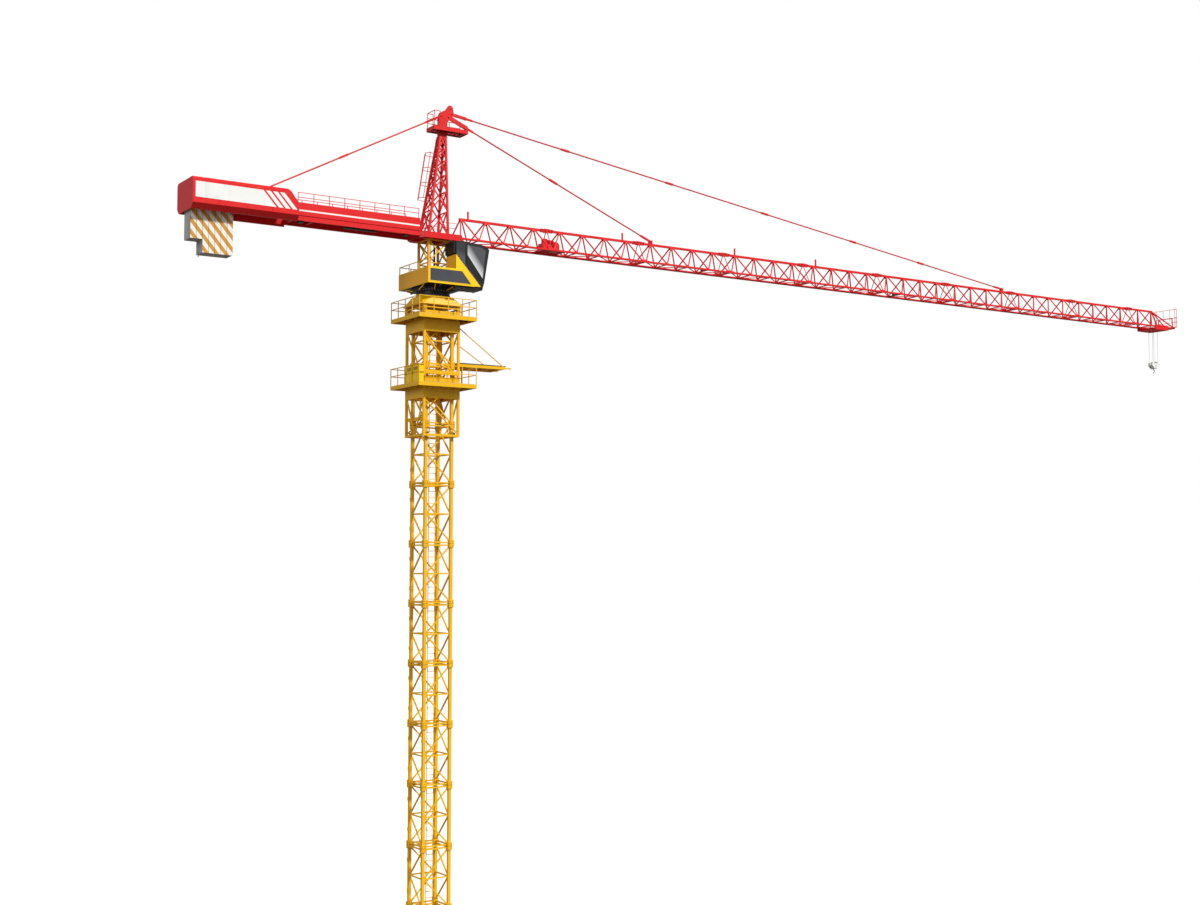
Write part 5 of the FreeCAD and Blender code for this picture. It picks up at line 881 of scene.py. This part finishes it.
splices = FIRST + 3 * PITCH + (SECTION - 3 * PITCH) / 2 + SECTION * np.arange(9)
heads = []
for sign in (-1.0, 1.0):
    spots = mixed_grid((splices[:, None] + np.array([-0.15, -0.055, 0.055, 0.15])).ravel(),
                       [sign * 0.039], [upper_z])
    spots[np.abs((spots[:, 0, None] - splices)).min(1) < 0.08, 1] = sign * 0.044
    heads += hexes(spots, "y", 0.017, sign * 0.012)
    lower = mixed_grid((splices[:, None] + np.array([-0.10, -0.04, 0.04, 0.10])).ravel(),
                       [sign * half_y], [chord_z + 0.038])
    heads += hexes(lower, "z", 0.010, 0.008)
piece("splice_bolts", heads, greased, "upper_works")
lugs = mixed_grid(splices, [-half_y, half_y], [chord_z + 0.031])
piece("splice_plates", [slabs(lugs - [0.14, 0.020, 0.008], lugs + [0.14, 0.020, 0.007])], scarlet,
      "upper_works", bevel=0.002)

roller_at = rows(np.array([8.65, 16.15, 21.5]), 0.0, chord_z + 0.045)
roll = [(-0.07, 0.010), (-0.07, 0.036), (-0.062, 0.036), (-0.055, 0.024), (0.055, 0.024),
        (0.062, 0.036), (0.07, 0.036), (0.07, 0.010)]
holders = [slabs(roller_at + [-0.03, y - 0.004, -0.045], roller_at + [0.03, y + 0.004, 0.02])
           for y in (-0.085, 0.085)]
cross = slabs(roller_at + [-0.014, -0.285, -0.052], roller_at + [0.014, 0.285, -0.030])
piece("rope_rollers", [lathes(roller_at, "y", roll, 20), lathes(roller_at, "y", [(-0.095, 0.008),
                       (0.095, 0.008)], 10), cross] + holders, charcoal, "upper_works")

# %% Guard rails at the jib's end
tip_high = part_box("jib_tip")[1]
tip_top = tip_high[2] + 0.11
ends_x, ends_y = (tip_high[0] - 0.115, tip_high[0] - 0.015), tip_high[1] - 0.012
posts = mixed_grid(ends_x, [-ends_y, ends_y], [tip_high[2] - 0.30])
posts = np.concatenate([posts, [[ends_x[1], y, tip_high[2] - 0.30] for y in (-0.14, 0.14)]])
caps = posts * [1, 1, 0] + [0, 0, tip_top]
back_left, back_right, front_left, front_right = mixed_grid(ends_x, [-ends_y, ends_y], [tip_top])
top_rails = struts([back_left, back_right, front_left], [front_left, front_right, front_right],
                   0.015, sides=8)
piece("tip_guard_rails", [struts(posts, caps, 0.015, sides=8, up=(1, 0, 0)), top_rails], scarlet,
      "upper_works")

# %% Trolley winch
drum_at = np.array([3.62, 0.0, 20.2295])
turns = np.arange(19 * 8 + 1)
coil = [(-0.108 + 0.216 * t / turns[-1], 0.0905 + 0.0045 * abs(math.sin(math.pi * t / 8)))
        for t in turns]
lay = [(-0.108, 0.086)] + coil + [(0.108, 0.086)]
piece("winch_rope", [lathes(drum_at, "y", lay, 40)], greased, "upper_works")
rims = [lathes(drum_at, "y", [(s * 0.109, 0.088), (s * 0.109, 0.112), (s * 0.1145, 0.112),
                              (s * 0.1145, 0.088)], 40) for s in (-1, 1)]
fins = [(0.03 + 0.012 * k + d, r) for k in range(12) for d, r in
        ((0.0, 0.050), (0.001, 0.060), (0.005, 0.060), (0.006, 0.050))]
finned = [(0.02, 0.030), (0.02, 0.062)] + fins + [(0.19, 0.056), (0.20, 0.030)]
motor_at = [3.41, 0.0, 20.335]
piece("winch_motor", rims + [lathes(motor_at, "x", finned, 28)], scarlet, "upper_works")

# %% [markdown]
# The counter-jib has a white line along its boards, a walkway grating, and a bare
# pale panel with three slanting stripes on each side of the machinery housing.

# %% Counter-jib
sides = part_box("counter_jib_beams")[1][1]
housing_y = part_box("machinery_housing")[1][1]
WALK_END = -3.86
signs = [slabs([[WALK_END, -sides - 0.0015, 20.228], [WALK_END, sides - 0.002, 20.228]],
               [[-0.585, -sides + 0.002, 20.266], [-0.585, sides + 0.0015, 20.266]])]
sign_outline = [(-6.43, 20.585), (-6.43, 20.215), (-4.46, 20.205), (-4.79, 20.575)]
for way in (-1.0, 1.0):
    face = way * housing_y
    span = sorted((face - 0.002 * way, face + 0.0025 * way))
    signs.append(prisms(sign_outline, "y", span))
    for k in range(3):
        foot_x = -4.400 + 0.176 * k
        signs.append(prisms([(foot_x, 20.205), (foot_x + 0.118, 20.205), (foot_x - 0.212, 20.575),
                             (foot_x - 0.330, 20.575)], "y", span))
piece("white_markings", signs, whitened, "upper_works")
piece("counter_grating", grate(WALK_END, -0.60, -0.30, 0.30, 20.2845, pitch=0.03, cross=0.12),
      galvanised, "upper_works")
boxes_under = slabs([[-3.80, -0.33, 19.955], [-0.98, -0.33, 19.96], [-2.5, -0.06, 20.02]],
                    [[-3.68, -0.20, 20.03], [-0.86, -0.20, 20.03], [-1.6, 0.06, 20.05]])
piece("junction_boxes", [boxes_under], charcoal, "upper_works", bevel=0.004)
edge_x = np.arange(-6.35, -4.0, 0.16)
rivets = []
for way in (-1.0, 1.0):
    spots = mixed_grid(edge_x, [way * housing_y], [20.12, 20.62])
    rivets += [lathes(spots, "y", [(0, 0.009), (way * 0.003, 0.008), (way * 0.005, 0.003)], 10)]
COVER_FOOT, COVER_TOP = 20.10, 20.63
panel_seams = [slabs([x - 0.003, y0, COVER_FOOT], [x + 0.003, y1, COVER_TOP])
               for y0, y1 in ((-housing_y - 0.0012, -housing_y + 0.002),
                              (housing_y - 0.002, housing_y + 0.0012))
               for x in (-5.85, -5.2, -4.55)]
piece("housing_rivets", rivets, scarlet, "upper_works")
piece("housing_seams", panel_seams, charcoal, "upper_works")
ballast_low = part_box("ballast_slabs")[0]
hanger = [ballast_low[0] + 0.072 + SLAB, -0.155, ballast_low[2] - 0.10]
rod = [(0, 0.009), (0.0, 0.014), (0.02, 0.014), (0.022, 0.007), (0.12, 0.007)]
piece("ballast_rods", [lathes(hanger, "z", rod, 12)], greased, "upper_works")

# %% [markdown]
# The trolley's four small sheaves lead the rope falls down to two large sheaves in the
# hook block. The falls are laid rope: six strands, each circle pushed out by
# r = R (1 + 0.12 cos(6 (t - twist z))). They are one fixed mesh from the trolley's sheaves
# down to the block's.

# %% Trolley and hook block
block_low, block_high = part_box("hook_block")
axis_x = (block_low[0] + block_high[0]) / 2
FALL_X, FALL_Y, ROPE = 0.135, 0.075, 0.006
groove = [(-0.016, 0.5), (-0.016, 1.0), (-0.012, 1.02), (-0.006, 0.9), (0.006, 0.9), (0.012, 1.02),
          (0.016, 1.0), (0.016, 0.5)]


def sheave(centres, radius, hub_width):
    """A grooved wheel with a dished web and a hub on its axle, across Y."""
    rim = [(s, r * radius) for s, r in groove]
    web = [(-0.006, 0.02), (-0.006, 0.62 * radius), (0.006, 0.62 * radius), (0.006, 0.02)]
    boss = [(-hub_width, 0.008), (-hub_width, 0.02), (hub_width, 0.02), (hub_width, 0.008)]
    return [lathes(centres, "y", rim, 40), lathes(centres, "y", web, 24),
            lathes(centres, "y", boss, 20)]


small = 0.052
fall_top, fall_foot = block_high[2] + 1.16 + 0.028, block_high[2] - 0.075
tops = mixed_grid([axis_x - FALL_X + small, axis_x + FALL_X - small], [-FALL_Y, FALL_Y],
                  [fall_top])
piece("trolley_sheaves", sheave(tops, small, 0.03), greased, "trolley")
bottoms = mixed_grid([axis_x], [-FALL_Y, FALL_Y], [fall_foot])
big = FALL_X - ROPE * 0.4
piece("block_sheaves", sheave(bottoms, big * 0.97, 0.022), zinc, "hook_block_body")
tall = block_high[2] - block_low[2]
half_x = (block_high[0] - block_low[0]) / 2
outline = [(axis_x - half_x, block_high[2]), (axis_x + half_x, block_high[2]),
           (axis_x + half_x, block_high[2] - 0.45 * tall), (axis_x + 0.07, block_low[2]),
           (axis_x - 0.07, block_low[2]), (axis_x - half_x, block_high[2] - 0.45 * tall)]
cheeks = [prisms(outline, "y", [[-0.095, -0.083], [-0.008, 0.008], [0.083, 0.095]]),
          slabs([[axis_x - 0.068, -0.084, block_low[2] + 0.001]],
                [[axis_x - 0.018, 0.084, block_low[2] + 0.056]]),
          slabs([[axis_x + 0.018, -0.084, block_low[2] + 0.001]],
                [[axis_x + 0.068, 0.084, block_low[2] + 0.056]]),
          slabs([[axis_x - half_x + 0.004, -0.084, block_high[2] - 0.05],
                 [axis_x + half_x - 0.016, -0.084, block_high[2] - 0.05]],
                [[axis_x - half_x + 0.016, 0.084, block_high[2] - 0.002],
                 [axis_x + half_x - 0.004, 0.084, block_high[2] - 0.002]])]
block_plates = piece("block_plates", cheeks, whitened, "hook_block_body", bevel=0.003)
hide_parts("hook_block")
block_bolts = []
for way in (-1.0, 1.0):
    spots = rows(axis_x + np.array([-0.17, 0.17, -0.045, 0.045]), way * 0.095,
                 np.repeat([block_high[2] - 0.03, block_low[2] + 0.03], 2))
    block_bolts += hexes(spots, "y", 0.011, way * 0.008)
    block_bolts += [lathes([[axis_x, way * 0.095, fall_foot]], "y",
                           [(0, 0.026), (way * 0.010, 0.026), (way * 0.013, 0.02)], 20)]
piece("block_bolts", block_bolts, zinc, "hook_block_body")

# %% Hoist ropes and hook latch
rings, around = 420, 18
z = np.linspace(fall_top, fall_foot, rings)
t = np.arange(around) * 2 * math.pi / around
radius = ROPE * 0.9 * (1 + 0.12 * np.cos(6 * (t[None, :] - 48.0 * z[:, None])))
shape = np.stack([radius * np.cos(t), radius * np.sin(t), np.repeat(z[:, None], around, 1)], -1)
falls = mixed_grid([axis_x - FALL_X, axis_x + FALL_X], [-FALL_Y, FALL_Y], [0.0])
ropes = piece("rope_falls", [ringed(falls[:, None, None] + shape)], wire, None)
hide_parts("hoist_ropes")
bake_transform(ropes)

hook_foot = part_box("hook")[0][2]
latch = struts([[axis_x - 0.004, 0, hook_foot + 0.108]], [[axis_x + 0.040, 0, hook_foot + 0.075]],
               0.014, 0.005, up=(0, 0, 1))
spring = lathes([[axis_x - 0.004, 0, hook_foot + 0.110]], "y",
                [(-0.012, 0.006), (0.012, 0.006)], 12)
piece("hook_latch", [latch, spring], zinc, "hook_body")
